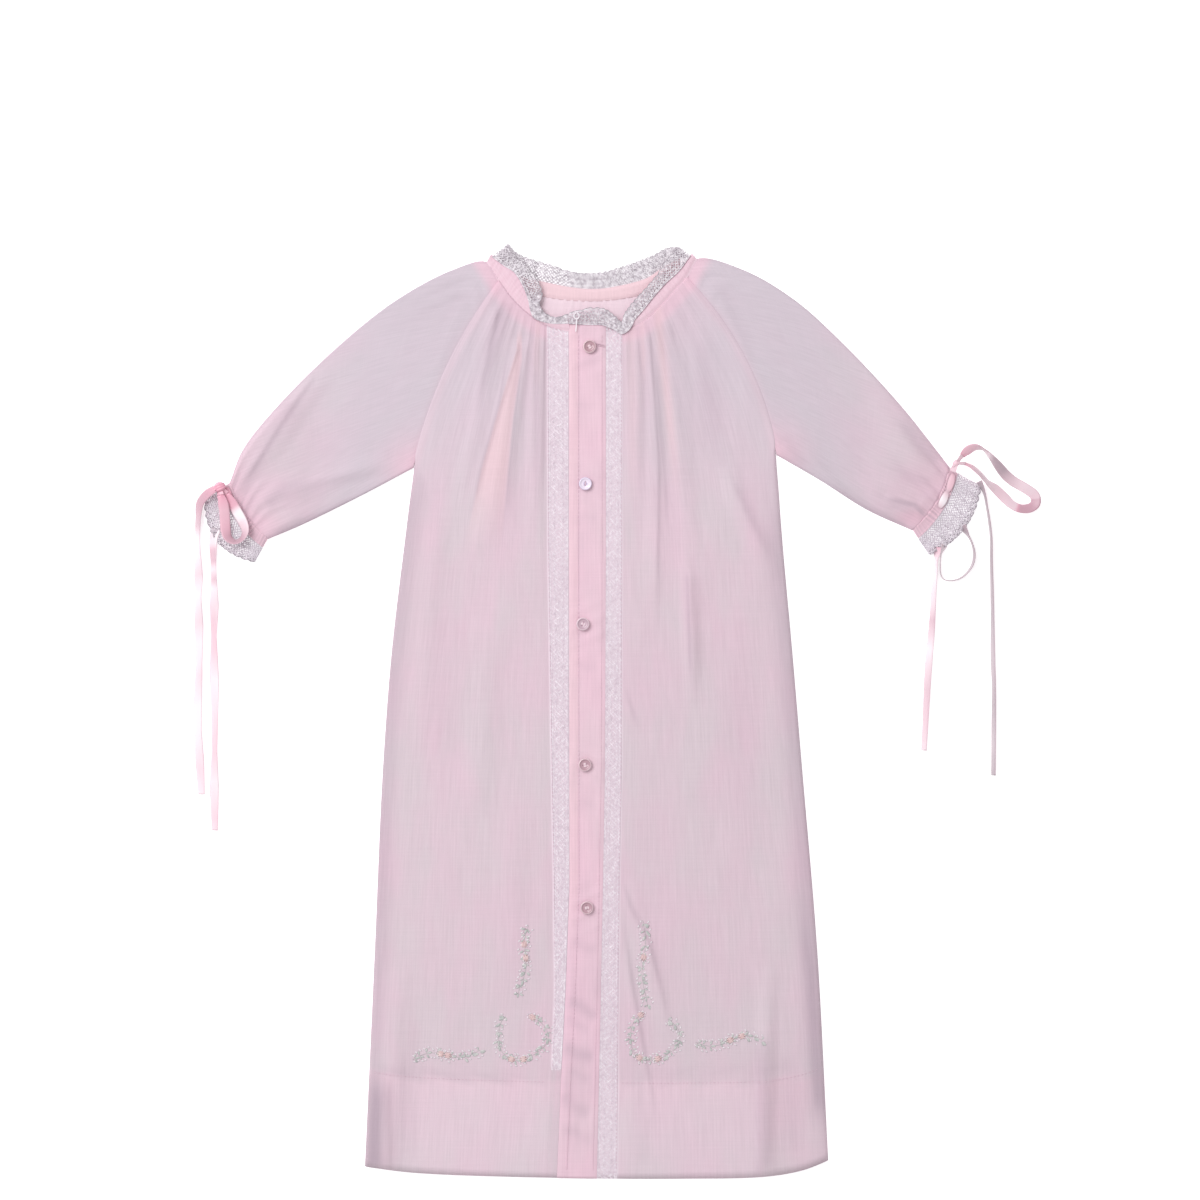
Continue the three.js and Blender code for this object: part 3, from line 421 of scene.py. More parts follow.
def batisteFinish(name, base):
    # thin cotton: slubs along the warp and weft, pinker where two layers lie together; the shade
    # column paints shade, and the pale column lightens it, in places as painted light
    shader = Shader(name, Roughness=0.92, Sheen_Weight=0.12, Sheen_Roughness=0.5,
                    Specular_IOR_Level=0.2)
    grain, weave = weaveOf(shader)
    warp = shader.streaks(grain, (1.1, 0.035, 1.0), 4.0)
    weft = shader.streaks(grain, (0.03, 1.3, 1.0), 2.0)
    broad = shader.streaks(grain, (0.03, 0.014, 1.0), 3.0)
    tone = shader.blend(shader.spread(broad, 0.35, 0.65),
                        colour(base[0] + 2, base[1] - 2, base[2]),
                        colour(base[0] - 5, base[1] + 2, base[2] - 1))
    for key, there in (("cool", (214, 203, 214)), ("double", (243, 203, 219)),
                       ("warm", (246, 208, 215)), ("pale", (255, 240, 250)),
                       ("shade", (184, 164, 178))):
        tone = shader.blend(shader.attribute(key), tone, colour(*there))
    streak = (warp - 0.5) * 0.2 + (weft - 0.5) * 0.08 + 1.0
    shader.feed("Base Color", shader.scaled(tone, streak))
    shader.feed("Roughness", warp * 0.1 + 0.86)
    shader.bump(weave * 0.5 + warp * 1.2, 0.00012, 0.5)
    return shader.material


def threadFinish(name, base, other, size=900.0, reach=0.5):
    # twisted thread: two tones in clouds, sharper the smaller their reach; a mark above 0
    # darkens it with painted shade, fullest at 1 (the darker outline), and -1 is the bright raised
    # stitch
    shader = Shader(name, Roughness=0.85, Specular_IOR_Level=0.25)
    spots = shader.cloud(shader.place(), size, 2.0)
    tone = shader.blend(shader.spread(spots, 0.5 - reach, 0.5 + reach),
                        colour(*base), colour(*other))
    mark = shader.attribute("mark")
    dark = shader.blend(mark, tone, colour(*(v * 0.72 for v in other)))
    shader.feed("Base Color", shader.blend(mark * -0.8, dark, colour(262, 256, 262)))
    shader.bump(spots, 0.0001, 0.4)
    return shader.material


def satinFinish():
    # woven satin: fine ribs across the ribbon, pinker or whiter as its tone says; the white is a
    # painted sheen and the shade column paints shade
    shader = Shader("satinRibbon", Roughness=0.34, Sheen_Weight=0.15, Specular_IOR_Level=0.55)
    ribs = shader.streaks(shader.grain(), (0.5, 7.0, 1.0), 2.0)
    edge = shader.attribute("selvedge")
    pink = shader.blend(shader.attribute("tone"), colour(255, 244, 250), colour(241, 170, 192))
    grey = shader.blend(shader.attribute("shade"), pink, colour(168, 150, 160))
    tone = shader.blend(edge * 0.3, grey, colour(216, 172, 188))
    shader.feed("Base Color", shader.scaled(tone, ribs * 0.12 + 0.94))
    shader.feed("Roughness", ribs * 0.15 + 0.28)
    shader.bump(ribs, 0.00008, 0.5)
    return shader.material


def pearlFinish(name, ring, middle):
    # pearly shell under a clear coat: a ring of one tone round a middle of another; the tones mix the
    # shell's own colour with painted shade of the rim and painted highlights
    shader = Shader(name, Roughness=0.25, Coat_Weight=0.6, Coat_Roughness=0.08)
    bands = shader.streaks(shader.place(), (300.0, 900.0, 300.0), 3.0)
    dish = shader.blend(bands, colour(*ring), colour(*(v * 1.06 for v in ring)))
    shader.feed("Base Color", shader.blend(shader.attribute("ring"), colour(*middle), dish))
    shader.feed("Roughness", bands * 0.2 + 0.15)
    return shader.material


finishes = {
    "batiste": batisteFinish("batiste", (229, 204, 216)),
    "double": batisteFinish("doubleBatiste", (243, 208, 223)),
    "lace": threadFinish("laceThread", (260, 250, 258), (231, 212, 225), 620.0, 0.18),
    "neckLace": threadFinish("neckLaceThread", (247, 240, 246), (184, 173, 183), 700.0, 0.16),
    "cuffLace": threadFinish("cuffLaceThread", (243, 234, 243), (208, 196, 207), 700.0, 0.32),
    "satin": satinFinish(),
    "sewing": threadFinish("sewingThread", (244, 216, 228), (230, 196, 212)),
    "leaf": threadFinish("leafThread", (217, 215, 214), (182, 185, 183), 500.0, 0.2),
    "bud": threadFinish("budThread", (242, 217, 216), (226, 192, 194), 500.0, 0.2),
    "halo": threadFinish("paleThread", (244, 234, 240), (230, 220, 227), 500.0, 0.2),
}
print("finishes made")

# ---- outlines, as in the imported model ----
centreLine = -4.0
hemY = -268.0
necklineY = 217.0
neck = {
    "left": [(-60.4, 257.3), (-53, 246), (-45.5, 236), (-35.7, 226.8), (-27, 221.1),
             (-15.5, 217.6), (centreLine - gap / 2, 217)],
    "right": [(60, 259), (54, 248), (46.8, 240), (39.1, 231.5), (27.6, 221.8),
              (10.4, 217.6), (centreLine + gap / 2, 217)],
    "back": [(-53, 246), (-41.4, 245.6), (-18.4, 242.4), (4.6, 241.8), (27.6, 244.3),
             (43.7, 248.4), (54, 248)],
}
raglan = {
    "left": {"underarm": (-102.4, 138.9), "top": (-53, 246), "bow": 6.5},
    "right": {"underarm": (105.8, 146.3), "top": (54, 248), "bow": -9.0},
}
sideSeam = {
    "left": [(-102.4, 138.9), (-107.5, 97.5), (-115, 34.2), (-120.2, -34.8),
             (-124.8, -138.3), (-130.5, -262.5)],
    "right": [(105.8, 146.3), (109.3, 97.5), (115, 34.2), (120.8, -34.8),
              (129.4, -138.3), (135.7, -259)],
}
hem = [(-130.5, -262.5), (-103.5, -265.9), (-25.3, -268.8), (50.6, -269.4), (100.1, -268.2),
       (121, -264.6), (135.7, -259)]
sleeve = {
    "left": {
        "shoulder": [(-53, 246), (-60.4, 257.3), (-79.9, 252.7), (-112.1, 235.5),
                     (-144.9, 209.6), (-180, 175.1), (-200.7, 149.2), (-208, 131)],
        "under": [(-102.4, 138.9), (-131.7, 123.3), (-166.8, 106.1), (-186, 98)],
    },
    "right": {
        "shoulder": [(54, 248), (60, 259), (86.8, 252.7), (116.2, 235.5),
                     (144.9, 209.6), (177.1, 175.1), (197.8, 149.2), (205.6, 139)],
        "under": [(105.8, 146.3), (130.5, 132), (158.1, 114.7), (184, 103)],
    },
}
outward = {"left": -1, "right": 1}
trims = {  # x of each edge at stations down the front
    "y": [217, 90, -34, -102, -165, -214, -269],
    "laceLeft": [-25.9, -25.5, -23.5, -22.2, -21.6, -23.6, -27],
    "placketLeft": [-13.2, -13.2, -13, -12.9, -15.2, -17.8, -20.1],
    "placketRight": [7.5, 7.5, 7, 5.8, 4.6, 3.5, 2.3],
    "laceRight": [17.3, 17.3, 17.1, 15.8, 15.2, 14.8, 14.4],
}


def trimX(edge, y):
    return np.interp(-np.asarray(y, float), -np.array(trims["y"]), trims[edge])


hemCurve = curveThrough(hem)
buttonPlaces = [firstButton, (-3.8, 129.7), (-5.2, 49.2), (-4, -31.6), (-2.9, -113.6)]

# ---- camera and light ----
def addCamera():
    data = bpy.data.cameras.new("camera")
    data.sensor_width = 36.0
    data.lens = data.sensor_width * studio["cameraHeight"] / studio["frameWidth"]
    data.clip_start, data.clip_end = 0.05, 20.0
    eye = placed("camera", data)
    eye.location = (*studio["frameMiddle"], studio["cameraHeight"])
    bpy.context.scene.camera = eye


def addStudio():
    scene = bpy.context.scene
    scene.view_settings.view_transform = "Standard"
    world = bpy.data.worlds.new("softRoom")
    world.use_nodes = True
    glow = world.node_tree.nodes["Background"].inputs
    glow["Color"].default_value = (1, 1, 1, 1)
    glow["Strength"].default_value = studio["world"]
    scene.world = world
    data = bpy.data.lights.new("softBox", "AREA")
    data.shape, data.size, data.energy = "SQUARE", studio["keySize"], studio["keyPower"]
    lamp = placed("softBox", data)
    lamp.location = studio["keyPlace"]
    aim = -np.array(studio["keyPlace"])
    lamp.rotation_euler = (np.arctan2(np.hypot(aim[0], aim[1]), -aim[2]), 0,
                           np.arctan2(aim[1], aim[0]) - np.pi / 2)
    reach = studio["floorReach"]
    corners = ((-reach, -reach), (reach, -reach), (reach, reach), (-reach, reach))
    floorMesh = bpy.data.meshes.new("floor")
    floorMesh.from_pydata([(x, y, studio["floorHeight"]) for x, y in corners], [], [(0, 1, 2, 3)])
    floor = placed("floor", floorMesh)
    paint = Shader("paleFloor", Roughness=0.95, Specular_IOR_Level=0.1,
                   Base_Color=(0.9, 0.9, 0.9, 1), Emission_Color=(1, 1, 1, 1),
                   Emission_Strength=0.5)
    floorMesh.materials.append(paint.material)


addCamera()
addStudio()
print("camera, lights and floor made")

# ---- free ribbons: points of each route, as in the imported model ----
# each row is x, y, roll and lift: roll 0 lies flat and 90 stands on its edge; lift is the height
# of the lowest edge, and a row without one lies on the floor
# tone 0 is the painted white sheen and 1 the full pink; shade paints the grey shade of the turned side
ribbonSize = {"width": 6, "wall": 0.34, "packedWall": 1, "cup": 0.25, "columns": 9,
              "step": 1, "floorLift": 0.1, "lowest": 0.05}
ribbons = {
    "bow_loop_right": {
        "end": "knot",
        "rows": [(212.2, 145.8, 30, 5), (214.8, 148.3, 22, 4.6), (219.5, 150.4, 50, 3.6),
                 (224.4, 149.2, 82, 2.6), (229.3, 144.5, 62, 1.8), (233.7, 139.3, 36, 1),
                 (237.6, 134.8, 22, 0.5), (242.4, 130.9, 18, 0.2), (248.5, 127.4, 20),
                 (254.3, 122.9, 20), (254.8, 118.6, 26), (251.8, 116, 28), (246.2, 115.6, 34),
                 (241.3, 117.8, 30), (236.8, 122, 16, 0.3), (231.8, 126.8, 26, 0.8),
                 (226.9, 130.7, 58, 2.4), (222.4, 135.4, 60, 4.4), (217.6, 139.4, 60, 5.2),
                 (214, 141, 62, 5.4)],
        "tone": [(0, 0.8), (0.07, 0.6), (0.12, 0.5), (0.17, 0.2), (0.22, 0.4), (0.32, 0.45),
                 (0.42, 0.3), (0.47, 0.35), (0.505, 0.5), (0.515, 1), (0.63, 1), (0.645, 0.35),
                 (0.75, 0.45), (0.85, 0.3), (0.93, 0.5), (1, 0.9)],
        "shade": [(0, 0), (0.08, 0.1), (0.12, 0.5), (0.165, 0.25), (0.2, 0.75), (0.28, 0.8),
                  (0.33, 0.4), (0.4, 0.05), (0.47, 0.1), (0.5, 0.2), (0.515, 0.6), (0.62, 0.55),
                  (0.635, 0.1), (0.82, 0.05), (0.9, 0.3), (1, 0.1)],
    },
    "bow_loop_left": {
        "end": "knot",
        "rows": [(-209.6, 123.6, 14, 4.8), (-205.9, 117.6, 10, 4.7), (-202.6, 111.9, 12, 4.7),
                 (-199.8, 106.6, 22, 4.6), (-198.9, 101.8, 44, 4.5), (-200.9, 97.9, 60, 4.5),
                 (-204.6, 96.4, 62, 4.6), (-208.2, 98.4, 44, 4.8), (-209.8, 102.8, 20, 5.2),
                 (-210.3, 108.8, 10, 5.8), (-210.7, 115, 8, 6.6), (-211.7, 120.2, 8, 7),
                 (-212.8, 123.2, 10, 7)],
        "tone": [(0, 1), (0.13, 0.9), (0.17, 0.2), (0.2, 0), (0.25, 0.02), (0.29, 0.3), (0.38, 0.42),
                 (0.46, 0.75), (0.6, 0.85), (0.85, 0.7), (1, 1)],
        "shade": [(0, 0.1), (0.13, 0.15), (0.18, 0), (0.27, 0), (0.36, 0.12), (0.44, 0.45),
                  (0.52, 0.55), (0.62, 0.35), (0.7, 0.12), (0.85, 0.08), (1, 0)],
    },
    "tail_left_outer": {
        "end": "bare",
        "rows": [(-216.2, 126.8, 44, 4.6), (-221.2, 123.4, 30, 3.4), (-225, 118.6, 36, 1.6),
                 (-226.2, 110.6, 52), (-226.6, 100, 56), (-226.3, 90.9, 56), (-226.1, 77, 28),
                 (-226.2, 64, 48), (-225.9, 48, 26), (-225.7, 26.5, 48), (-226.4, 6, 30),
                 (-226.2, -12, 42), (-225.5, -28, 28), (-224.4, -48.6, 46)],
        "tone": [(0, 1), (0.1, 0.8), (0.15, 0.5), (0.18, 0.05), (0.3, 0.3), (0.36, 0.02), (0.45, 0.3),
                 (0.52, 0.05), (0.62, 0.35), (0.72, 0.02), (0.84, 0.15), (0.92, 0.4), (1, 0.3)],
        "shade": [(0, 0.3), (0.06, 0.5), (0.14, 0.5), (0.18, 0.1), (0.24, 0), (0.3, 0.12), (1, 0)],
    },
    "tail_left_inner": {
        "end": "bare",
        "rows": [(-215.4, 104.2, 20, 1), (-217.4, 98.6, 30, 0.2), (-217.6, 86, 50), (-217.3, 76, 52),
                 (-217.1, 60, 26), (-217.3, 42, 52), (-217, 18, 24), (-216.7, -4, 46),
                 (-216.9, -24, 52), (-217, -44, 26), (-216.8, -69.3, 48)],
        "tone": [(0, 0), (0.05, 0.02), (0.07, 0.5), (0.11, 0.55), (0.14, 0.05), (0.17, 0.5),
                 (0.2, 0.05), (0.32, 0.5), (0.4, 0.5), (0.5, 0.05), (0.68, 0.4), (0.74, 0.45),
                 (0.84, 0.05), (0.96, 0.5), (1, 0.4)],
        "shade": [(0, 0.1), (0.06, 0.1), (0.08, 0.3), (0.11, 0.3), (0.13, 0), (0.17, 0.25), (0.2, 0),
                  (0.3, 0.16), (0.4, 0), (1, 0.05)],
    },
    "tail_right_outer": {
        "end": "bare",
        "rows": [(222, 131, 60, 1.2), (225, 124.6, 82), (226.6, 116.4, 84), (227.9, 108.4, 82),
                 (229, 98.6, 82), (229.1, 86, 80), (229.5, 70, 78), (229.8, 52, 76), (230, 30.8, 70),
                 (230.6, 12, 74), (230.5, -10, 70), (230.3, -37.7, 72)],
        "tone": [(0, 0.2), (0.3, 0.05), (0.5, 0), (0.7, 0.15), (0.85, 0.05), (1, 0.1)],
        "shade": [(0, 0.8), (0.2, 0.9), (0.45, 0.9), (0.6, 0.7), (0.75, 0.9), (0.9, 0.7), (1, 0.9)],
    },
    "tail_right_inner": {
        "end": "bare",
        "rows": [(198.6, 93.4, 40, 1), (197.5, 86.4, 76), (197.2, 78.6, 76), (196.3, 70, 66),
                 (195.4, 54, 62), (194.6, 42, 56), (193.2, 26, 52), (192.2, 10, 56), (191.4, -6, 62),
                 (190.4, -23.4, 64)],
        "tone": [(0, 0.7), (0.06, 0.3), (0.15, 0.05), (0.3, 0.3), (0.36, 0.6), (0.5, 0.1), (0.7, 0.5),
                 (0.85, 0.5), (1, 0.3)],
        "shade": [(0, 0.1), (0.3, 0.2), (0.36, 0.4), (0.5, 0.05), (0.7, 0.3), (1, 0.2)],
    },
    "ribbon_loop_right": {
        "end": "object",
        "rows": [(212.4, 105.4, 50, 1.2), (215.9, 99.8, 84), (218.2, 95, 86), (219.3, 89, 80),
                 (218.4, 83.6, 80), (215.8, 79.4, 82), (211.4, 75.6, 84), (206.2, 74.2, 86),
                 (202, 74.8, 88), (200.3, 77.8, 88), (200, 83, 88), (200.6, 89.6, 76),
                 (202.4, 94.4, 50, 1)],
        "tone": [(0, 0.4), (0.3, 0.1), (0.6, 0.15), (0.8, 0.1), (1, 0.2)],
        "shade": [(0, 0.8), (0.25, 0.9), (0.45, 0.7), (0.6, 0.8), (0.8, 0.5), (1, 0.3)],
    },
}


def ribbonShape(rows, pinch, step=ribbonSize["step"], both=True):
    # a cupped strip carried along the route: across it, the roll turns it from lying to standing;
    # pinch gives the share of its width at its ends, its widest share, and the length it takes
    # to open; only the start is pinched where both= is false
    size = ribbonSize
    rows = np.array([row if len(row) == 4 else (*row, size["floorLift"]) for row in rows], float)
    rolls = np.radians(rows[:, 2])
    half = (np.sin(rolls) * size["width"] + np.cos(rolls) * size["packedWall"]) / 2
    curve = curveThrough(np.column_stack([rows[:, :2], rows[:, 3] + half]))
    even, length = byLength(curve, 2000)
    places = np.interp(np.linspace(0, 1, int(length / step) + 1),
                       shareOfLength(curve), np.linspace(0, 1, 2000))
    shares = np.linspace(0, 1, len(places))
    centre = even(shares)
    tangent = np.gradient(centre, axis=0)
    tangent[:, 2] = 0
    tangent /= np.linalg.norm(tangent, axis=1, keepdims=True)
    roll = np.interp(places * (len(rows) - 1), np.arange(len(rows)), rolls)[:, None]
    left = np.column_stack([-tangent[:, 1], tangent[:, 0], 0 * roll])
    sideways = left * np.cos(roll) + np.array([0, 0, 1]) * np.sin(roll)
    face = np.cross(tangent, sideways)
    w = np.linspace(-1, 1, size["columns"])[:, None]
    openness = np.ones_like(shares)
    if pinch is not None:
        fromEnd = np.minimum(shares, 1 - shares) if both else shares
        openness = mix(pinch[0], pinch[1], smooth(fromEnd * length / pinch[2]))
    middle = centre[:, None] + sideways[:, None] * w * size["width"] / 2 * openness[:, None, None]
    cup = size["cup"] * (0.5 - w**2) + 0.35 * (1 - openness[:, None, None]) * np.cos(5 * w)
    middle = middle + face[:, None] * cup
    wall = size["wall"] * (0.5 + 0.5 * np.sqrt(np.maximum(0, 1 - np.abs(w) ** 8)))
    top, bottom = (middle + face[:, None] * side * wall / 2 for side in (1, -1))
    for faceOf in (top, bottom):
        faceOf[..., 2] = np.maximum(faceOf[..., 2], size["lowest"])
    return shares, centre, length, top, bottom, w[:, 0]


def addRibbon(name):
    spec = ribbons[name]
    pinch = (0.7, 1, 6) if spec["end"] == "knot" else None
    shares, centre, length, top, bottom, w = ribbonShape(spec["rows"], pinch)
    columns = {key: np.interp(shares, *np.array(spec[key]).T)[:, None] + 0 * w
               for key in ("tone", "shade")}
    columns["selvedge"] = (np.abs(w) > 0.85) + 0 * shares[:, None]
    grain = np.stack(np.broadcast_arrays(w * ribbonSize["width"] / 2, (shares * length)[:, None]),
                     -1)
    piece = shell("shown_" + name, top, bottom, columns, grain)
    dressed(piece, finishes["satin"], "satin_ribbon", name)
    length / 1000
    print(name, "length", round(length, 1), "mm")


for name in ribbons:
    addRibbon(name)

knots = {  # the strap is wound round the core; each arm runs out to the start of a ribbon
    "bow_knot_right": {
        "middle": (208.8, 141.4), "core": (3, 6.4, 3), "strap": (1.8, 1.6, 3.4), "turn": -40,
        "lift": 5, "tone": 0.55, "arms": [(212.2, 145.8, 46, 5), (214, 141, 62, 5.4),
                                            (206.6, 136.6, 20, 4.4)],
    },
    "bow_knot_left": {
        "middle": (-213.4, 127.6), "core": (7, 6.2, 4.6), "strap": (3.5, 2.7, 4.4), "turn": 24,
        "lift": 4.4, "tone": 1, "arms": [(-209.6, 123.6, 14, 4.8), (-212.8, 123.2, 10, 7),
                                           (-216.4, 126.7, 62, 4.4)],
    },
}


def turnedTo(points, knot):
    # local x, y, z of a knot turned about the upright and moved to its middle
    x, y = turnedBy(points[..., 0], points[..., 1], np.radians(knot["turn"]))
    return np.stack([x + knot["middle"][0], y + knot["middle"][1],
                     points[..., 2] + knot["lift"] + knot["core"][2] / 2], -1)


def knotCore(knot):
    # a ball squashed to the core's size, dented by three lengthwise pleats
    rings, around = 21, 40
    up = (np.pi * (np.arange(rings) + 0.5) / rings)[:, None]
    about = (2 * np.pi * np.arange(around) / around)[None, :]
    ball = np.stack(np.broadcast_arrays(np.sin(up) * np.cos(about), np.cos(up),
                                        np.sin(up) * np.sin(about)), -1)
    ball = ball * (0.86 + 0.14 * np.abs(np.cos(3 * about + 1.4 * np.cos(up))) ** 0.7)[..., None]
    points = turnedTo(ball * np.array(knot["core"]) / 2, knot).reshape(-1, 3)
    index = np.arange(rings * around).reshape(rings, around)
    return facingOut(points, ringWall(index), [index[:1], index[-1:, ::-1]])


def knotStrap(knot):
    # a band round the core: an ellipse standing on edge, spread sideways and pleated along
    reach, rise, width = knot["strap"]
    w = np.linspace(-1, 1, 13)[:, None]
    phi = (2 * np.pi * np.arange(44) / 44)[None, :]
    swell = 1 + 0.05 * np.cos(3 * np.pi * w) - 0.16 * w**4
    spread = width / 2 * (0.82 + 0.18 * np.sin(phi) ** 2)
    ring = np.stack(np.broadcast_arrays(reach * swell * np.cos(phi), w * spread,
                                        rise * swell * np.sin(phi)), -1)
    inner = ring * [0.78, 1, 0.78]
    return tubeParts(turnedTo(ring, knot), turnedTo(inner, knot))


def knotArm(knot, end):
    # a strip pinched at the knot that opens to the ribbon's width where the ribbon starts
    x, y = knot["middle"]
    roll = end[2]
    start = (mix(x, end[0], 0.15), mix(y, end[1], 0.15), roll * 0.6 + 25, knot["lift"])
    middle = (mix(x, end[0], 0.6), mix(y, end[1], 0.6), roll * 0.85 + 10,
              mix(knot["lift"], end[3], 0.7))
    reach = np.hypot(x - end[0], y - end[1])
    *_, top, bottom, _ = ribbonShape([start, middle, end], (0.5, 0.7, reach), 0.35, False)
    return shellParts(top, bottom)


def addKnot(name):
    knot = knots[name]
    parts = [knotCore(knot), knotStrap(knot)] + [knotArm(knot, end) for end in knot["arms"]]
    points, faces = joined(parts)
    counts = [len(some) for some, _ in parts]
    tone = np.repeat([knot["tone"] * 0.9, knot["tone"]] + [knot["tone"] * 0.8] * 3, counts)
    # painted shade over the lower part of the knot
    low = np.clip((knot["lift"] + knot["core"][2] * 0.62 - points[:, 2]) / 2.4, 0, 1)
    values = {"tone": tone, "shade": 0.35 * low, "selvedge": 0 * tone}
    piece = addMesh("shown_" + name, points, faces, values, points[:, :2].copy())
    dressed(piece, finishes["satin"], "satin_ribbon", name)


for name in knots:
    addKnot(name)
print("ribbons and knots made")


# ---- folds and creases of the cloth ----
def polylineField(rows, x, y):
    # signed distance to a line of points (positive on its right going along) and share along it
    rows = np.array(rows, float)
    lengths = np.linalg.norm(np.diff(rows, axis=0), axis=1)
    before = np.concatenate([[0], np.cumsum(lengths)])
    best = np.full(x.shape, 1e9)
    signed, along = np.zeros(x.shape), np.zeros(x.shape)
    for k in range(len(rows) - 1):
        step = (rows[k + 1] - rows[k]) / lengths[k]
        reach = (x - rows[k, 0]) * step[0] + (y - rows[k, 1]) * step[1]
        first, last = k == 0, k == len(rows) - 2
        held = np.clip(reach, -1e9 if first else 0, 1e9 if last else lengths[k])
        away = np.hypot(x - rows[k, 0] - held * step[0], y - rows[k, 1] - held * step[1])
        side = (x - rows[k, 0]) * step[1] - (y - rows[k, 1]) * step[0]
        nearer = away < best
        best = np.where(nearer, away, best)
        signed = np.where(nearer, np.sign(side) * away, signed)
        along = np.where(nearer, (before[k] + held) / before[-1], along)
    return signed, along


def creaseField(table, x, y):
    # each crease rises slowly over `soft` on one side of its line and falls within `sharp` on the
    # other; it fades in and out along its length. Returns height and shade.
    height, shade = np.zeros(x.shape), np.zeros(x.shape)
    for line, tall, soft, sharp, side, grey, fadeIn, fadeOut in table:
        d, along = polylineField(line, x, y)
        d = d * side
        life = fading(along, fadeIn, fadeOut)
        height += tall * np.where(d < 0, bell(d, soft), bell(d, sharp)) * life
        shade += grey * bell(d - sharp, sharp * 1.3) * life
    return height, shade


def veil(table, x, y):
    # soft shade along lines: a bell across each, fading in and out along it
    shade = np.zeros(x.shape)
    for line, width, amount, fadeIn, fadeOut in table:
        d, along = polylineField(line, x, y)
        shade += amount * bell(d, width) * fading(along, fadeIn, fadeOut)
    return shade


def foldHeight(table, x, y):
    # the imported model's own folds: a bell across each line, tapering at its ends
    height = np.zeros(x.shape)
    for x0, y0, x1, y1, width, tall in table:
        length = np.hypot(x1 - x0, y1 - y0)
        along = ((x - x0) * (x1 - x0) + (y - y0) * (y1 - y0)) / length**2
        across = np.abs((x - x0) * (y1 - y0) - (y - y0) * (x1 - x0)) / length
        inside = (along > 0) & (along < 1) & (across < width)
        taper = np.sqrt(np.sin(np.pi * np.clip(along, 0, 1)))
        height = np.maximum(height, np.where(inside, tall * taper * (
            0.5 + 0.5 * np.cos(np.pi * np.minimum(across / width, 1))), 0))
    return height


folds = {
    "left": [
        (-41.5, 212, -61.5, 92, 11, 1.4), (-50, 226, -74, 128, 8, 1.2),
        (-32.5, 214, -33.5, 96, 6, 0.8), (-57, 60, -66, -60, 14, 1),
        (-112, -150, -116, -262, 12, 1.6), (-45, -60, -50, -170, 14, 0.8),
    ],
    "right": [
        (37, 224, 36, 60, 8, 0.9), (46, 230, 57, 88, 9, 1.1),
        (26, 214, 26, 110, 6, 0.7), (54, 92, 58.5, 2, 7, 1.2),
        (76, 140, 104, 74, 10, 1.2), (21, -98, 46, -196, 9, 1),
        (101, -150, 99, -266, 8, 2),
    ],
}
creases = {  # line, height, soft and sharp reach, side, shade, and shares of its fade in and out
    "left": [
        ([(-43.5, 216), (-43.1, 206.7), (-52.9, 175.1), (-63.3, 138.9), (-69.5, 112)],
         0.7, 3.5, 1.1, -1, 0.1, 0.1, 0.25),
        ([(-39.5, 214), (-40.3, 201), (-45.4, 167), (-48.6, 133.1), (-51.8, 99.2)],
         0.8, 4, 0.8, 1, 0.24, 0.08, 0.3),
        ([(-30.2, 217), (-31, 205), (-30.2, 147.5), (-31.4, 108)], 0.6, 3, 0.8, 1, 0.24, 0.1, 0.35),
        ([(-53.5, 233), (-56.4, 222.8), (-63.3, 191.8), (-70, 160)], 0.8, 4.5, 1.8, -1, 0.22, 0.1, 0.5),
        ([(-118.5, -205), (-117.3, -262)], 0.9, 8, 2, -1, 0.16, 0.3, 0.02),
        ([(-58, 62), (-62, 12), (-60, -44)], 0.5, 9, 5, 1, 0.06, 0.4, 0.4),
        ([(-86, 120), (-94, 60), (-99, -30)], 0.6, 8, 5, -1, 0.05, 0.3, 0.4),
        ([(-40, -70), (-44, -130), (-43, -180)], 0.5, 9, 6, 1, 0.05, 0.4, 0.4),
    ],
    "right": [
        ([(31.5, 222), (32.8, 214), (38, 138.9), (37.4, 90), (36.8, 36)],
         0.5, 3.5, 0.8, -1, 0.18, 0.06, 0.3),
        ([(42, 228), (43.1, 203.3), (47.5, 150), (53.5, 104.9)], 0.6, 4, 0.9, 1, 0.16, 0.08, 0.3),
        ([(55, 82), (55.6, 68), (58.1, 10)], 1.3, 5.5, 0.9, 1, 0.42, 0.12, 0.3),
        ([(76, 136), (79.4, 130.2), (92, 104), (103.5, 82)], 0.8, 7, 2.4, -1, 0.16, 0.25, 0.3),
        ([(17.6, 12), (21, 2), (26.5, -14)], 0.5, 3, 1.2, -1, 0.18, 0.1, 0.5),
        ([(15.6, -98), (21, -113), (32.2, -134), (40.8, -168), (46, -196)],
         0.9, 4.5, 1.2, -1, 0.22, 0.06, 0.6),
        ([(16.5, -120), (22, -155), (28.9, -194), (34, -222), (36, -250)],
         0.7, 3.5, 1.1, -1, 0.2, 0.15, 0.4),
        ([(95.5, -178), (97, -200), (97.6, -266)], 1.2, 7, 2, 1, 0.26, 0.25, 0.02),
        ([(24.5, 216), (25.5, 160), (24.5, 112)], 0.6, 3.5, 1.6, 1, 0.1, 0.1, 0.4),
        ([(66, 200), (72, 160), (84, 120)], 0.6, 6, 3, 1, 0.1, 0.2, 0.4),
    ],
}

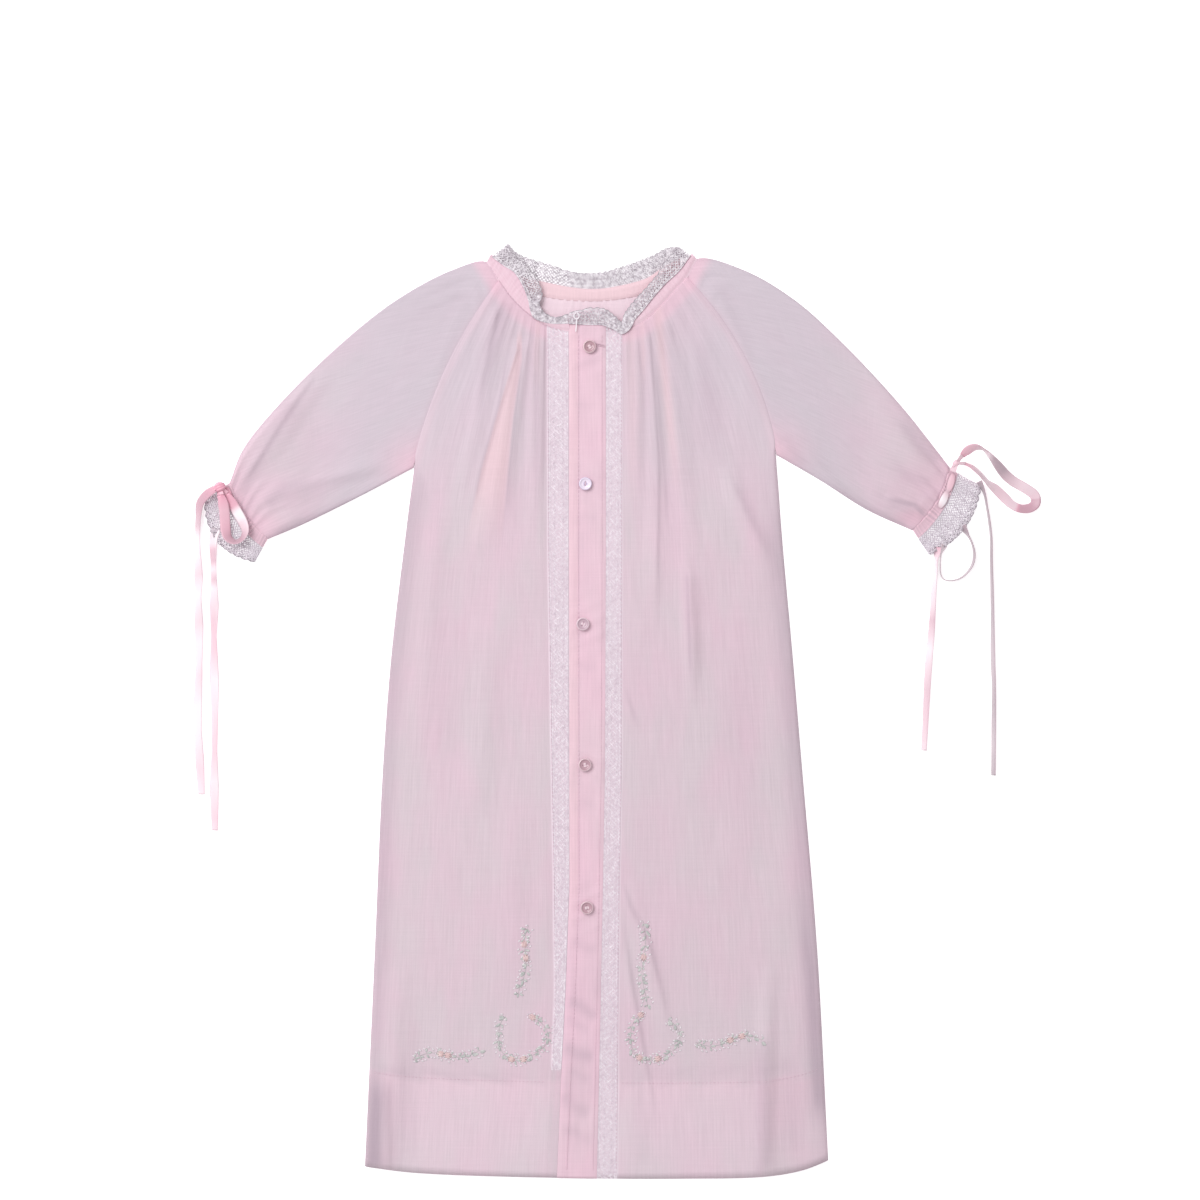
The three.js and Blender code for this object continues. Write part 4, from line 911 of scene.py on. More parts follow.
veils = {  # points of the line, width, amount, and the shares over which it fades in and out
    "left": [
        ([(-122.5, -205), (-124.5, -262)], 5.5, 0.62, 0.35, 0.02),
        ([(-108, -190), (-110, -262)], 4, 0.16, 0.3, 0.02),
        ([(-101, -170), (-103, -262)], 2.5, 0.12, 0.3, 0.02),
        ([(-103, 132), (-115, 34), (-121, -35), (-127, -200)], 2.6, 0.22, 0.05, 0.3),
        ([(-48, 236), (-55, 214), (-63, 180)], 4.5, 0.2, 0.1, 0.5),
        ([(-33, 222), (-34, 196), (-33, 170)], 1.6, 0.14, 0.1, 0.6),
        ([(-128, -206.5), (-90, -209.5), (-30, -212)], 2.6, 0.16, 0.1, 0.3),
        ([(-47, 214), (-53.5, 175), (-64, 138), (-72, 100)], 0.9, 0.3, 0.2, 0.4),
        ([(-40, 205), (-44, 168), (-48, 132), (-52, 95)], 0.9, 0.2, 0.2, 0.4),
        ([(-78, 90), (-84, 20), (-86, -60)], 9, 0.07, 0.4, 0.4),
    ],
    "right": [
        ([(104, 130), (112, 34), (118, -35), (127, -150), (132, -245)], 7, 0.3, 0.1, 0.05),
        ([(120, -100), (126, -170), (131, -235)], 4, 0.32, 0.3, 0.1),
        ([(99, -186), (100, -263)], 3, 0.26, 0.1, 0.02),
        ([(112, -190), (116, -255)], 6, 0.12, 0.3, 0.1),
        ([(33.5, 224), (35.5, 196), (38, 150), (37, 96)], 3.2, 0.12, 0.05, 0.4),
        ([(44, 226), (49, 188), (53, 140)], 2.6, 0.12, 0.1, 0.4),
        ([(36, 205), (42, 130), (45, 86)], 0.9, 0.22, 0.2, 0.3),
        ([(22, -209), (70, -208), (124, -203)], 2.2, 0.1, 0.2, 0.2),
        ([(62, 214), (68, 176), (75, 130)], 5, 0.14, 0.15, 0.5),
        ([(14, -60), (17, -100), (19, -140)], 3, 0.18, 0.3, 0.4),
        ([(23, -176), (27, -210), (29, -262)], 3.5, 0.1, 0.2, 0.05),
        ([(80, 60), (86, -10), (88, -90)], 12, 0.08, 0.4, 0.4),
    ],
}

front = {
    "raglanRows": 11, "skirtRows": 17, "rows": 188, "columns": 104, "stripColumns": 9,
    "gathers": 8, "gatherHeight": 0.72, "hemDepth": 55, "edgeDrop": 1.25, "edgeWidth": 2.6,
    "lap": 1.5, "seamDrop": 0.3, "seamWidth": 0.9, "casing": 4.5, "width": 110,
}
frontLook = {  # seed of the soft unevenness, and the painted shade of the side seam: wide, close and even
    "left": {"seed": 5, "wideShade": 0.3, "closeShade": 0.2, "evenShade": 0.0},
    "right": {"seed": 8, "wideShade": 0.08, "closeShade": 0.2, "evenShade": 0.04},
}
innerTuck = [  # the two sides of the warm tuck of the left front
    [(-43.1, 216), (-43.1, 206.7), (-52.9, 175.1), (-63.3, 138.9), (-73, 95)],
    [(-40.3, 216), (-40.3, 201), (-45.4, 167), (-48.6, 133.1), (-52.8, 85)],
]
warmLines = {  # line, width, amount, and the share over which it fades out
    "left": [([(-31, 222), (-32, 205), (-31, 180)], 2, 0.3, 0.6)],
    "right": [
        ([(38, 226), (41.5, 196), (46.5, 150), (50, 112)], 2.8, 0.5, 0.5),
        ([(22.5, 218), (23.5, 170), (23, 110)], 3, 0.26, 0.5),
        ([(28.5, 222), (29.5, 204), (30, 184)], 1.5, 0.3, 0.5),
    ],
}


def bodyEdge(name, row):
    # outer edge of a body panel: down the raglan seam, then down the side seam by its length
    seam = raglan[name]
    inward = -outward[name] * gap / 2
    down = np.clip(row / front["raglanRows"], 0, 1)
    onSeam = bowedPoint(seam["top"], seam["underarm"], -seam["bow"] * np.ones_like(down), down)
    skirt, _ = byLength(curveThrough(sideSeam[name]))
    share = np.clip((row - front["raglanRows"]) / front["skirtRows"], 0, 1)
    onSide = skirt(share)
    edge = np.where((row <= front["raglanRows"])[:, None], onSeam, onSide)
    shift = 1 - smooth(row - front["raglanRows"])
    edge[:, 0] += inward * 1.2 * shift
    edge[:, 1] -= gap / 2 * shift
    return edge


def frontNet(name):
    # x and y of a front, the share across it (below 0 on the strip under the trims) and the share
    # down its raglan seam; rows run down it, columns from the centre line to the outer edge
    even = np.linspace(0, 1, front["rows"])
    rowPlace = (front["raglanRows"] + front["skirtRows"]) * (0.6 * even + 0.4 * even**2)
    outer = bodyEdge(name, rowPlace)
    outer[:, 0] += outward[name] * front["lap"] * (1 - smooth(rowPlace - front["raglanRows"] + 1))
    v = (rowPlace / rowPlace[-1])[:, None]
    ordered = curveThrough(sorted(neck[name][1:]))
    neckAt = lambda x: heightOn(ordered, x)
    hemAt = lambda x: heightOn(hemCurve, x)
    laceEdge = {"left": "laceLeft", "right": "laceRight"}[name]
    start, endX = trimX(laceEdge, necklineY), trimX(laceEdge, hemY)
    startY, endY = neckAt(start), hemAt(endX)
    innerY = mix(startY, endY, v)
    innerX = trimX(laceEdge, innerY)
    u = np.linspace(0, 1, front["columns"])[None, :]
    x = mix(innerX, outer[:, :1], u)
    y = mix(innerY, outer[:, 1:], u)
    down = rowPlace[:, None] / front["raglanRows"]
    low = np.clip((rowPlace[:, None] - front["raglanRows"]) / front["skirtRows"], 0, 1)
    topX = mix(start, outer[0, 0], u)
    y = y + (neckAt(topX) - mix(startY, outer[0, 1], u)) * np.maximum(0, 1 - down) ** 2
    hemX = mix(endX, outer[-1, 0], u)
    y = y + (hemAt(hemX) - mix(endY, outer[-1, 1], u)) * low**3
    # the flat strip under the trims
    s = np.linspace(1, 0, front["stripColumns"], endpoint=False)[None, :]
    inner = centreLine + outward[name] * gap / 2
    stripX = mix(innerX, inner, s)
    stripY = innerY + (neckAt(stripX) - startY) * (1 - v) + (hemAt(stripX) - endY) * v
    strip = np.broadcast_to(-s, stripX.shape)
    return (np.hstack([stripX, x]), np.hstack([stripY, y]),
            np.hstack([strip, np.broadcast_to(u, x.shape)]), down)


def neckReach(name, x, y):
    # distance from the gathering line of the neck
    line = curveThrough(neck[name])(np.linspace(0, 1, 25))
    return np.abs(polylineField(line, x, y)[0])


def frontSurface(name):
    # height of the cloth: folds, creases, gathers fading away from the neck, soft unevenness
    x, y, u, down = frontNet(name)
    look, onCloth = frontLook[name], u >= 0
    rise = np.where(onCloth, smooth(u / 0.06), 0)
    sideways = np.clip(u, 0, 1)
    count = front["gathers"]
    drift = 0.35 * np.sin(7 * sideways + 2.5 * down) + 0.2 * np.sin(17 * sideways)
    wave = humps(count * sideways + 0.18 * drift * np.minimum(down, 1))
    fine = humps(2.6 * count * sideways + drift)
    finest = humps(4.3 * count * sideways + 2 * drift + 0.6 * down)
    fade = np.maximum(0, 1 - down / 0.95)
    away = neckReach(name, x, y)
    calm = 0.25 + 0.75 * smooth((away - 1) / 9)
    gather = front["gatherHeight"] * (0.62 * wave ** 1.3 * fade**1.4 + 0.14 * fine * fade**3.5
                                      + 0.12 * finest * fade**9) * calm
    crease, shade = creaseField(creases[name], x, y)
    soft = 0.16 * noise(x * 2.2, y * 0.7, look["seed"], 60)
    soft = soft + 0.05 * noise(x * 3, y, 11, 14)
    edge = smooth((1 - u) * front["width"] / 6)
    height = frontTop + rise * edge * (gather + crease + foldHeight(folds[name], x, y) + soft + 0.2)
    # roll down to the back along the side seam; along the raglan only the lapped edge dips
    onSide = smooth((down - 1) * front["raglanRows"] + 0.6)
    outerReach = (1 - sideways) * np.abs(x[:, -1:] - x[:, front["stripColumns"]:][:, :1])
    roll = np.clip(1 - outerReach / mix(front["seamWidth"], front["edgeWidth"], onSide), 0, 1)
    drop = mix(front["seamDrop"], front["edgeDrop"], onSide)
    height = height - drop * (1 - np.sqrt(np.maximum(0, 1 - roll**2))) * onCloth
    # painted shade: in the hollows of the gathers, along the side seam where the cloth rolls under,
    # evenly over the skirt, and along the hem edge
    valleys = (0.05 * fade**1.8 * (1 - wave) + 0.03 * fade**5 * (1 - fine)
               + 0.05 * fade**10 * (1 - finest))
    side = look["wideShade"] * bell(outerReach - 3, 5) * onSide
    side = side + (look["closeShade"] * bell(outerReach, 1) + look["evenShade"]) * onSide
    side = side + 0.12 * bell(y - heightOn(hemCurve, x), 2.6)
    shade = (shade + veil(veils[name], x, y) + valleys * smooth(away / 3)) * rise + side
    return x, y, height, shade, down, u, away


def frontTones(name, x, y, u, down, away):
    # where the cloth is two layers deep (hem, tuck), warm from the layer folded behind it,
    # greyer (cool) towards the shoulder, and paler under the open lace
    hemTop = heightOn(hemCurve, x) + front["hemDepth"]
    deep = hemTop - y
    hemBand = smooth(deep / 1.5) * (0.05 + 0.42 * np.exp(-np.maximum(deep, 0) / 12))
    warm = np.zeros_like(x)
    if name == "left":
        leftSide, rightSide = (polylineField(line, x, y)[0] for line in innerTuck)
        inside = smooth(0.5 - leftSide / 1.6) * smooth(0.5 + rightSide / 1.6)
        warm = 0.62 * inside * smooth((y - 84) / 62) * smooth((222 - y) / 14)
    for line, width, amount, fadeOut in warmLines[name]:
        d, along = polylineField(line, x, y)
        warm = warm + amount * bell(d, width) * smooth((1 - along) / fadeOut)
    top, underarm, bow = (raglan[name][key] for key in ("top", "underarm", "bow"))
    between = bowedPoint(top, underarm, -bow * np.ones(5), np.linspace(0.15, 0.9, 5))
    seam, _ = polylineField([top, *between, underarm], x, y)
    allowance = 0.22 * bell(np.abs(seam) - 1, 2.2) * (down < 1.1)
    neckPink = 0.55 * smooth((front["casing"] + 6 - away) / 6) * (down < 0.6)
    neckPink = neckPink + 0.25 * np.maximum(0, 1 - down / 0.35)
    cool = 0.7 * smooth((y - 80) / 140) * (1 - 0.6 * bell(x, 40))
    inHem = smooth(deep / 1.5) * smooth((x + 122) / 14) * (x < 96)
    pale = 0.14 * inHem + np.where((u < 0.004) & (y > -207 if name == "left" else True), 0.6, 0)
    double = hemBand + allowance + neckPink
    return {"double": np.clip(double, 0, 1), "warm": np.clip(warm, 0, 1), "cool": cool,
            "pale": pale}


frontShapes = {name: frontSurface(name) for name in outward}


def addFront(name):
    x, y, z, shade, down, u, away = frontShapes[name]
    top = np.stack([x, y, z], -1)
    bottom = top - [0, 0, shellWall]
    grain = np.stack([u * front["width"], y], -1)
    tones = frontTones(name, x, y, u, down, away)
    tones["shade"] = np.clip(shade, 0, 1)
    piece = shell(f"shown_front_{name}", top, bottom, tones, grain)
    return dressed(piece, finishes["batiste"], "batiste", f"front_{name}")


fronts = {name: addFront(name) for name in outward}
print("fronts made")


def clothHeight(name):
    # lookup of a front's upper face at any x and y, from its own net
    x, y, z, *_ = frontShapes[name]
    third = x.shape[1] // 3

    def at(px, py):
        px, py = np.atleast_1d(px), np.atleast_1d(py)
        row = np.abs(y[:, third][None, :] - py[:, None]).argmin(1)
        for _ in range(3):
            line = x[row]
            column = np.abs(line - px[:, None]).argmin(1)
            row = np.abs(y[:, column].T - py[:, None]).argmin(1)
        return z[row, column]
    return at


heightAt = {name: clothHeight(name) for name in outward}


# ---- back ----
backSpec = {"rows": 90, "columns": 92, "top": 0.62, "gathers": 26, "puckers": 34, "width": 240,
            "neckInsideY": 205}


def addBack():
    # one flat layer between the two side seams, its neckline and its hem
    even = np.linspace(0, 1, backSpec["rows"])
    rowPlace = (front["raglanRows"] + front["skirtRows"]) * (0.5 * even + 0.5 * even**2)
    left, right = bodyEdge("left", rowPlace), bodyEdge("right", rowPlace)
    u = np.linspace(0, 1, backSpec["columns"])[None, :]
    x = mix(left[:, :1], right[:, :1], u)
    y = mix(left[:, 1:], right[:, 1:], u)
    neckCurve = curveThrough(neck["back"])
    down = np.maximum(0, 1 - rowPlace[:, None] / front["raglanRows"])
    startX, startY = mix(left[0, 0], right[0, 0], u), mix(left[0, 1], right[0, 1], u)
    y = y + (heightOn(neckCurve, startX) - gap / 2 - startY) * down**2
    endX, endY = mix(left[-1, 0], right[-1, 0], u), mix(left[-1, 1], right[-1, 1], u)
    y = y + (heightOn(hemCurve, endX) - endY) * (rowPlace[:, None] / rowPlace[-1]) ** 4
    margin = np.minimum(u, 1 - u) * (right[:, :1] - left[:, :1])
    lift = 0.55 * np.clip(1 - margin / 2.5, 0, 1) ** 2
    gather = 0.12 * np.sin(2 * np.pi * backSpec["gathers"] * u) * down**2 * smooth(margin / 6)
    wave = np.sin(2 * np.pi * (backSpec["puckers"] * u + 0.6 * np.sin(9 * u)))
    puckers = 0.132 * wave * smooth((y - 224) / 14)
    soft = 0.05 * noise(x, y, 3, 40) * smooth(margin / 8)
    z = backSpec["top"] + lift + gather + puckers + soft
    top = np.stack([x, y, z + 0 * x], -1)
    bottom = np.stack([x, y, lift * 0.9 + 0 * x], -1)
    hemTop = heightOn(hemCurve, x) + front["hemDepth"]
    # near the neck the inside of the back is pinker, and painted paler and warmer to lift the shade
    # that the fronts cast on it
    facing = smooth((y - backSpec["neckInsideY"]) / 18)
    double = np.clip(0.35 * smooth((hemTop - y) / 1.5) + facing, 0, 1)
    tones = {"double": double, "warm": 0.4 * facing, "pale": 0.52 * facing}
    grain = np.stack([u * backSpec["width"] + 0 * x, y], -1)
    piece = shell("shown_back", top, bottom, tones, grain)
    return dressed(piece, finishes["batiste"], "batiste", "back")


back = addBack()


# ---- sleeves ----
sleeveFolds = {
    "left": [(-152, 196, -196, 132, 9, 1.2), (-116, 144, -186, 118, 8, 0.8)],
    "right": [(160, 178, 196, 128, 9, 0.8), (112, 160, 140, 128, 9, 0.9),
              (168, 122, 190, 110, 7, 1.2)],
}
sleeveCreases = {  # columns as for the creases of the fronts
    "left": [
        ([(-156, 199), (-160.7, 191.8), (-180, 163), (-201.3, 129.1)],
         0.9, 7, 1.5, -1, 0.16, 0.2, 0.15),
        ([(-193.2, 114.7), (-180, 124), (-167.3, 129.1), (-130, 138), (-104, 144)],
         0.7, 7, 2.5, 1, 0.12, 0.1, 0.5),
        ([(-72, 238), (-84, 214), (-92, 186)], 0.5, 5, 3, 1, 0.08, 0.1, 0.5),
    ],
    "right": [
        ([(108, 152), (120, 138), (131, 134)], 0.6, 5, 2.2, 1, 0.12, 0.2, 0.4),
        ([(198, 128), (186, 116), (166, 112)], 0.9, 5, 1.6, 1, 0.16, 0.15, 0.4),
        ([(200, 134), (190, 142), (174, 160)], 0.5, 5, 2.5, 1, 0.1, 0.1, 0.6),
        ([(70, 244), (84, 214), (93, 182)], 0.5, 5, 3, -1, 0.08, 0.1, 0.5),
    ],
}
sleeveVeils = {
    "left": [
        ([(-166, 184), (-184, 156), (-203, 122)], 5, 0.2, 0.2, 0.1),
        ([(-188, 118), (-176, 128), (-160, 134)], 3, 0.2, 0.1, 0.5),
        ([(-70, 250), (-90, 236), (-120, 210)], 9, 0.1, 0.2, 0.5),
        ([(-131, 124), (-160, 110), (-184, 99)], 3, 0.3, 0.3, 0.1),
    ],
    "right": [
        ([(200, 142), (186, 156), (172, 172)], 3.5, 0.3, 0.1, 0.4),
        ([(168, 121), (177, 119.5), (185, 117.5), (192, 110.5)], 1.5, 0.42, 0.3, 0.15),
        ([(196, 130), (182, 134), (166, 144)], 4, 0.2, 0.1, 0.5),
        ([(186, 110), (172, 118), (156, 128)], 4, 0.18, 0.1, 0.5),
        ([(131, 133), (158, 116), (182, 104)], 3, 0.3, 0.3, 0.1),
        ([(108, 160), (118, 146), (128, 138)], 4, 0.2, 0.2, 0.4),
    ],
}
cuffBow = {"left": 3.6, "right": -3.6}
cuff = {"bandWidth": 5, "bandRise": 0.9, "spread": 0.5, "inset": 0.4, "gathers": 6}
cuffLace = {
    "left": {"under": (-194, 84.7), "shoulder": (-222.6, 119.5), "bow": 9.0},
    "right": {"under": (194, 88.8), "shoulder": (223.6, 128.6), "bow": -7.0},
}
ringEdges = np.array([0, 0.12, 0.4, 0.85, 1.5, 2.4])  # millimetres in from each side of a tube


def ringShares(width, columns):
    # shares across a flattened tube: close together at its edges, even between them
    edge = ringEdges[None, :] / width[:, None]
    inner = np.linspace(0, 1, columns)[None, :]
    between = mix(edge[:, -1:], 1 - edge[:, -1:], inner)[:, 1:-1]
    return np.hstack([edge, between, 1 - edge[:, ::-1]])


def flatTube(a, b, bow, topAt, columns, lowTop=0):
    # rings of a flattened tube: an upper face, round edges and a face on the floor
    width = np.linalg.norm(b - a, axis=1)
    t = ringShares(width, columns)
    place = bowedPoint(a[:, None], b[:, None], bow[:, None] + 0 * t, t)
    inset = np.minimum(t, 1 - t) * width[:, None]
    edge = np.sqrt(np.clip(1 - (1 - np.clip(inset / 1.5, 0, 1)) ** 2, 0, 1))
    top = topAt(t, place[..., 0], place[..., 1])
    half = frontTop / 2
    upper = half + (top - half) * edge
    lower = half * (1 - edge) + lowTop * edge
    outerTop, outerLow = withHeight(place, upper), withHeight(place, lower)[:, -2:0:-1]
    # the inner wall: the same rings drawn in
    shrink = mix(shellWall / width[:, None], 1 - shellWall / width[:, None], t)
    inside = bowedPoint(a[:, None], b[:, None], bow[:, None] + 0 * t, shrink)
    halfWall = np.minimum(shellWall, 0.45 * (upper - lower))
    innerTop = withHeight(inside, upper - halfWall)
    innerLow = withHeight(inside, lower + halfWall)[:, -2:0:-1]
    outer = np.concatenate([outerTop, outerLow], 1)
    inner = np.concatenate([innerTop, innerLow], 1)
    return outer, inner, t


def ringed(upper, fill=None):
    # a column for a whole ring from its upper face; the lower face repeats it or takes fill
    under = upper[:, -2:0:-1] if fill is None else np.full_like(upper[:, -2:0:-1], fill)
    return np.concatenate([upper, under], 1)


def addTube(name, outer, inner, tones, grain):
    # grain holds the columns across and along the upper face
    across, along = (ringed(column) for column in np.broadcast_arrays(*grain))
    return walled(name, tubeParts(outer, inner), tones, np.stack([across, along], -1))


sleeveLook = {  # the grey of its lower half; the middle and the pink of the tuck beside the cuff
    "left": {"grey": 0.07, "tuck": (-188, 108), "tuckPink": 0.3},
    "right": {"grey": 0.02, "tuck": (182, 110.5), "tuckPink": 0.6},
}


def cuffGathers(f, t, near):
    # broad and fine waves round the sleeve that drift along it; near grows towards the cuff
    drift = 0.9 * np.sin(9 * f + 3 * t) + 0.4 * np.sin(23 * f)
    return humps(cuff["gathers"] * f + 0.3 * drift * near), humps(2.7 * cuff["gathers"] * f + drift)


def addSleeve(name):
    # a flattened tube; f is the share across it and t the share along it
    stations, columns = 86, 56
    look, seam = sleeveLook[name], raglan[name]
    shoulder, reach = byLength(curveThrough(sleeve[name]["shoulder"]))
    under, _ = byLength(curveThrough(sleeve[name]["under"]))
    top, corner = np.array(sleeve[name]["shoulder"][:2])
    cornerShare = np.linalg.norm(corner - top) / reach
    head = np.linspace(0, cornerShare, 10, endpoint=False)
    s = np.concatenate([head, np.linspace(cornerShare, 1, stations)])
    a, b = under(s), shoulder(s)
    shift = outward[name] * gap / 2 * (1 - s)
    a[:, 0] += shift
    b[:, 0] += shift
    bow = seam["bow"] * (1 - s) ** 2 + cuffBow[name] * smooth((s - 0.7) / 0.3)
    t = s[:, None]
    seamLine = bowedPoint(seam["underarm"], seam["top"], seam["bow"] * np.ones(9),
                          np.linspace(0, 1, 9))

    def seamReach(x, y):
        return np.abs(polylineField(seamLine, x, y)[0])

    def topAt(f, x, y):
        headFade = np.maximum(0, 1 - t / 0.3)
        gather = 0.9 * smooth((f - 0.7) / 0.2) * headFade * humps(3 * ((f - 0.7) / 0.3))
        gather = gather + 0.25 * smooth((f - 0.6) / 0.2) * headFade**2 * np.sin(2 * np.pi * 22 * f)
        near = np.maximum(0, (t - 0.72) / 0.28)
        wave, fine = cuffGathers(f, t, near)
        calm = 0.4 + 0.6 * smooth((1 - t) / 0.07)
        gather = gather + (1.2 * wave * near**2.2 + 0.35 * fine * near**5) * calm
        puff = 1.4 * np.sin(np.pi * smooth((t - 0.6) / 0.4))
        crease, _ = creaseField(sleeveCreases[name], x, y)
        soft = 0.12 * noise(x, y, 21, 45) + 0.04 * noise(x, y, 22, 12)
        away = seamReach(x, y)
        return frontTop - 0.3 * bell(away, 1.6) + fading(f, 0.08, 0.08) * smooth(away / 6) * (
            gather + puff + crease + soft + foldHeight(sleeveFolds[name], x, y))

    outer, inner, f = flatTube(a, b, bow, topAt, columns)
    x, y = outer[:, : f.shape[1], 0], outer[:, : f.shape[1], 1]
    width = np.linalg.norm(b - a, axis=1)[:, None]
    near = np.maximum(0, (t - 0.8) / 0.2)
    wave, fine = cuffGathers(f, t, near)
    uneven = 0.5 + 0.5 * np.sin(14 * f + 1.5)
    _, shade = creaseField(sleeveCreases[name], x, y)
    shade = shade + 0.22 * near**3 * (1 - wave) * uneven
    shade = shade + 0.34 * near**8 * (1 - fine) * (1 - 0.6 * uneven)
    shade = shade + veil(sleeveVeils[name], x, y) + 0.07 * bell(seamReach(x, y) - 0.6, 0.9)
    shade = shade + 0.3 * bell(np.minimum(f, 1 - f) * width, 1.5)
    shade = shade + look["grey"] * smooth((t - 0.5) / 0.3)
    seamPink = 0.16 * bell(seamReach(x, y), 3)
    seamPink = seamPink + 0.8 * smooth((10 - neckReach(name, x, y)) / 6)
    underarm = 0.8 * bell(np.hypot(x - seam["underarm"][0], y - seam["underarm"][1]) / 20, 0.8)
    tuckAway = np.hypot(x - look["tuck"][0], 1.6 * (y - look["tuck"][1]))
    double = seamPink + underarm + 0.75 * near**1.5 + look["tuckPink"] * bell(tuckAway, 8)
    tones = {"double": ringed(np.clip(double, 0, 1), 0),
             "cool": ringed(0.75 * (1 - smooth((t - 0.3) / 0.6)) + 0 * f),
             "shade": ringed(np.clip(shade, 0, 1), 0)}
    piece = addTube(f"shown_sleeve_{name}", outer, inner, tones, (f * width, t * reach))
    return dressed(piece, finishes["batiste"], "batiste", f"sleeve_{name}")


sleeves = {name: addSleeve(name) for name in outward}
print("back and sleeves made")


# ---- lace ----
laceSpec = {"pitch": 1.1, "cell": 2, "radius": 0.22, "flat": 0.55, "steps": 4, "edgeRadius": 0.28}


def laceThread(paths, radius):
    # a thread with a flat top, wider than tall
    return threadParts(paths, radius, 4, laceSpec["flat"], 0.5)


def netThreads(surface, length, width, inset=0.4, pitch=laceSpec["pitch"],
               radius=laceSpec["radius"]):
    # neighbouring threads swing against each other and meet at each half wave, as in a twisted
    # net; surface takes shares along and across
    count = max(3, int(round((width - 2 * inset) / pitch)))
    cells = max(4, int(round(length / (laceSpec["cell"] * pitch))))
    steps = cells * laceSpec["steps"] + 1
    along = np.linspace(0, 1, steps)[None, :]
    lane = (np.arange(count) + 0.5)[:, None] / count
    sign = np.where(np.arange(count) % 2, -1, 1)[:, None]
    swing = np.sin(2 * np.pi * cells * along) * sign * 0.5 / count
    across = inset / width + (lane + swing) * (1 - 2 * inset / width)
    paths = surface(np.broadcast_to(along, across.shape), across)
    paths[..., 2] += 0.05 * np.cos(4 * np.pi * cells * along) * sign
    return laceThread(paths, radius)


def edgeThread(surface, across, radius, steps):
    along = np.linspace(0, 1, steps)[None, :]
    return laceThread(surface(along, across + 0 * along), radius)


def laceSprigs(surface, length, repeat, size, scallop, rows, reach=(0, 1)):
    # in each repeat a five-petalled flower with two leaves, in close stitches
    count = max(2, int(length / repeat))
    parts = []
    for lane, row in enumerate(rows):
        along = mix(*reach, (np.arange(count) + 0.25 + 0.5 * (lane % 2)) / count)
        across = row * scallop(along)
        middle = surface(along, across)
        ahead = surface(np.minimum(along + 0.002, 1), across) - surface(along - 0.002, across)
        heading = np.arctan2(ahead[:, 1], ahead[:, 0])
        petals = [heading + 2 * np.pi * k / 5 + lane for k in range(5)]
        stitches = [(size * 0.62, turn, turn, 0.1, (0.46, 0.33, 0.14)) for turn in petals]
        stitches += [(side * size * 1.75, heading, heading + side * 0.9, 0.08, (0.75, 0.28, 0.12))
                     for side in (-1, 1)]
        for out, facing, turn, lift, (long, wide, tall) in stitches:
            place = middle + np.stack([out * np.cos(facing), out * np.sin(facing),
                                       lift + 0 * facing], -1)
            sizes = np.tile([size * long, size * wide, tall], (count, 1))
            parts.append(beadParts(place, sizes, turn, 3, 6))
    return joined(parts)


def laceVine(surface, length, repeat, middle, swing, radius):
    # a thicker thread waving along the lace between its sprigs
    cells = max(2, int(length / repeat))
    along = np.linspace(0, 1, cells * 8 + 1)[None, :]
    return laceThread(surface(along, middle + swing * np.sin(2 * np.pi * cells * along)), radius)


def bandSurface(leftEdge, rightEdge, startY, endY, height):
    # a band down the front between two trim edges; across runs from left to right
    def at(along, across):
        x0 = mix(leftEdge(necklineY), rightEdge(necklineY), across)
        x1 = mix(leftEdge(hemY), rightEdge(hemY), across)
        y = mix(startY(x0), endY(x1), along)
        x = mix(leftEdge(y), rightEdge(y), across)
        return np.stack([x, y, height + 0 * x], -1)
    return at


laceLeftEnd = -207.0
bands = {
    "left": {
        "edges": (lambda y: trimX("laceLeft", y), lambda y: trimX("placketLeft", y) - gap),
        "start": lambda x: mix(220.2, 216.8, (x + 25.9) / 12.4), "end": lambda x: laceLeftEnd + 0 * x,
        "length": 427, "width": 11,
    },
    "right": {
        "edges": (lambda y: trimX("placketRight", y) + gap, lambda y: trimX("laceRight", y)),
        "start": lambda x: mix(220.8, 217, (x - 7.8) / 9.5), "end": lambda x: heightOn(hemCurve, x),
        "length": 486, "width": 10,
    },
}


def laced(name, parts, marks, finish, node):
    # one lace piece; flat faces keep the tops of its threads bright
    points, faces = joined(parts)
    piece = addMesh(name, points, faces, marked(parts, marks))
    piece.data.shade_flat()
    return dressed(piece, finishes[finish], "lace", node)


def addLaceBand(name):
    band = bands[name]
    surface = bandSurface(*band["edges"], band["start"], band["end"], frontTop + 0.16)
    length, width = band["length"], band["width"]
    parts = [
        netThreads(surface, length, width),
        edgeThread(surface, 0.04, laceSpec["edgeRadius"], 220),
        edgeThread(surface, 0.96, laceSpec["edgeRadius"], 220),
        edgeThread(surface, 0.12, 0.24, 220),
        edgeThread(surface, 0.88, 0.24, 220),
        laceVine(surface, length, 8.4, 0.5, 0.2, 0.3),
        laceSprigs(surface, length, 8.4, 0.95, np.ones_like, (0.3, 0.7)),
    ]
    return laced(f"shown_lace_band_{name}", parts, [0] * 7, "lace", f"lace_band_{name}")


laceBands = {name: addLaceBand(name) for name in bands}

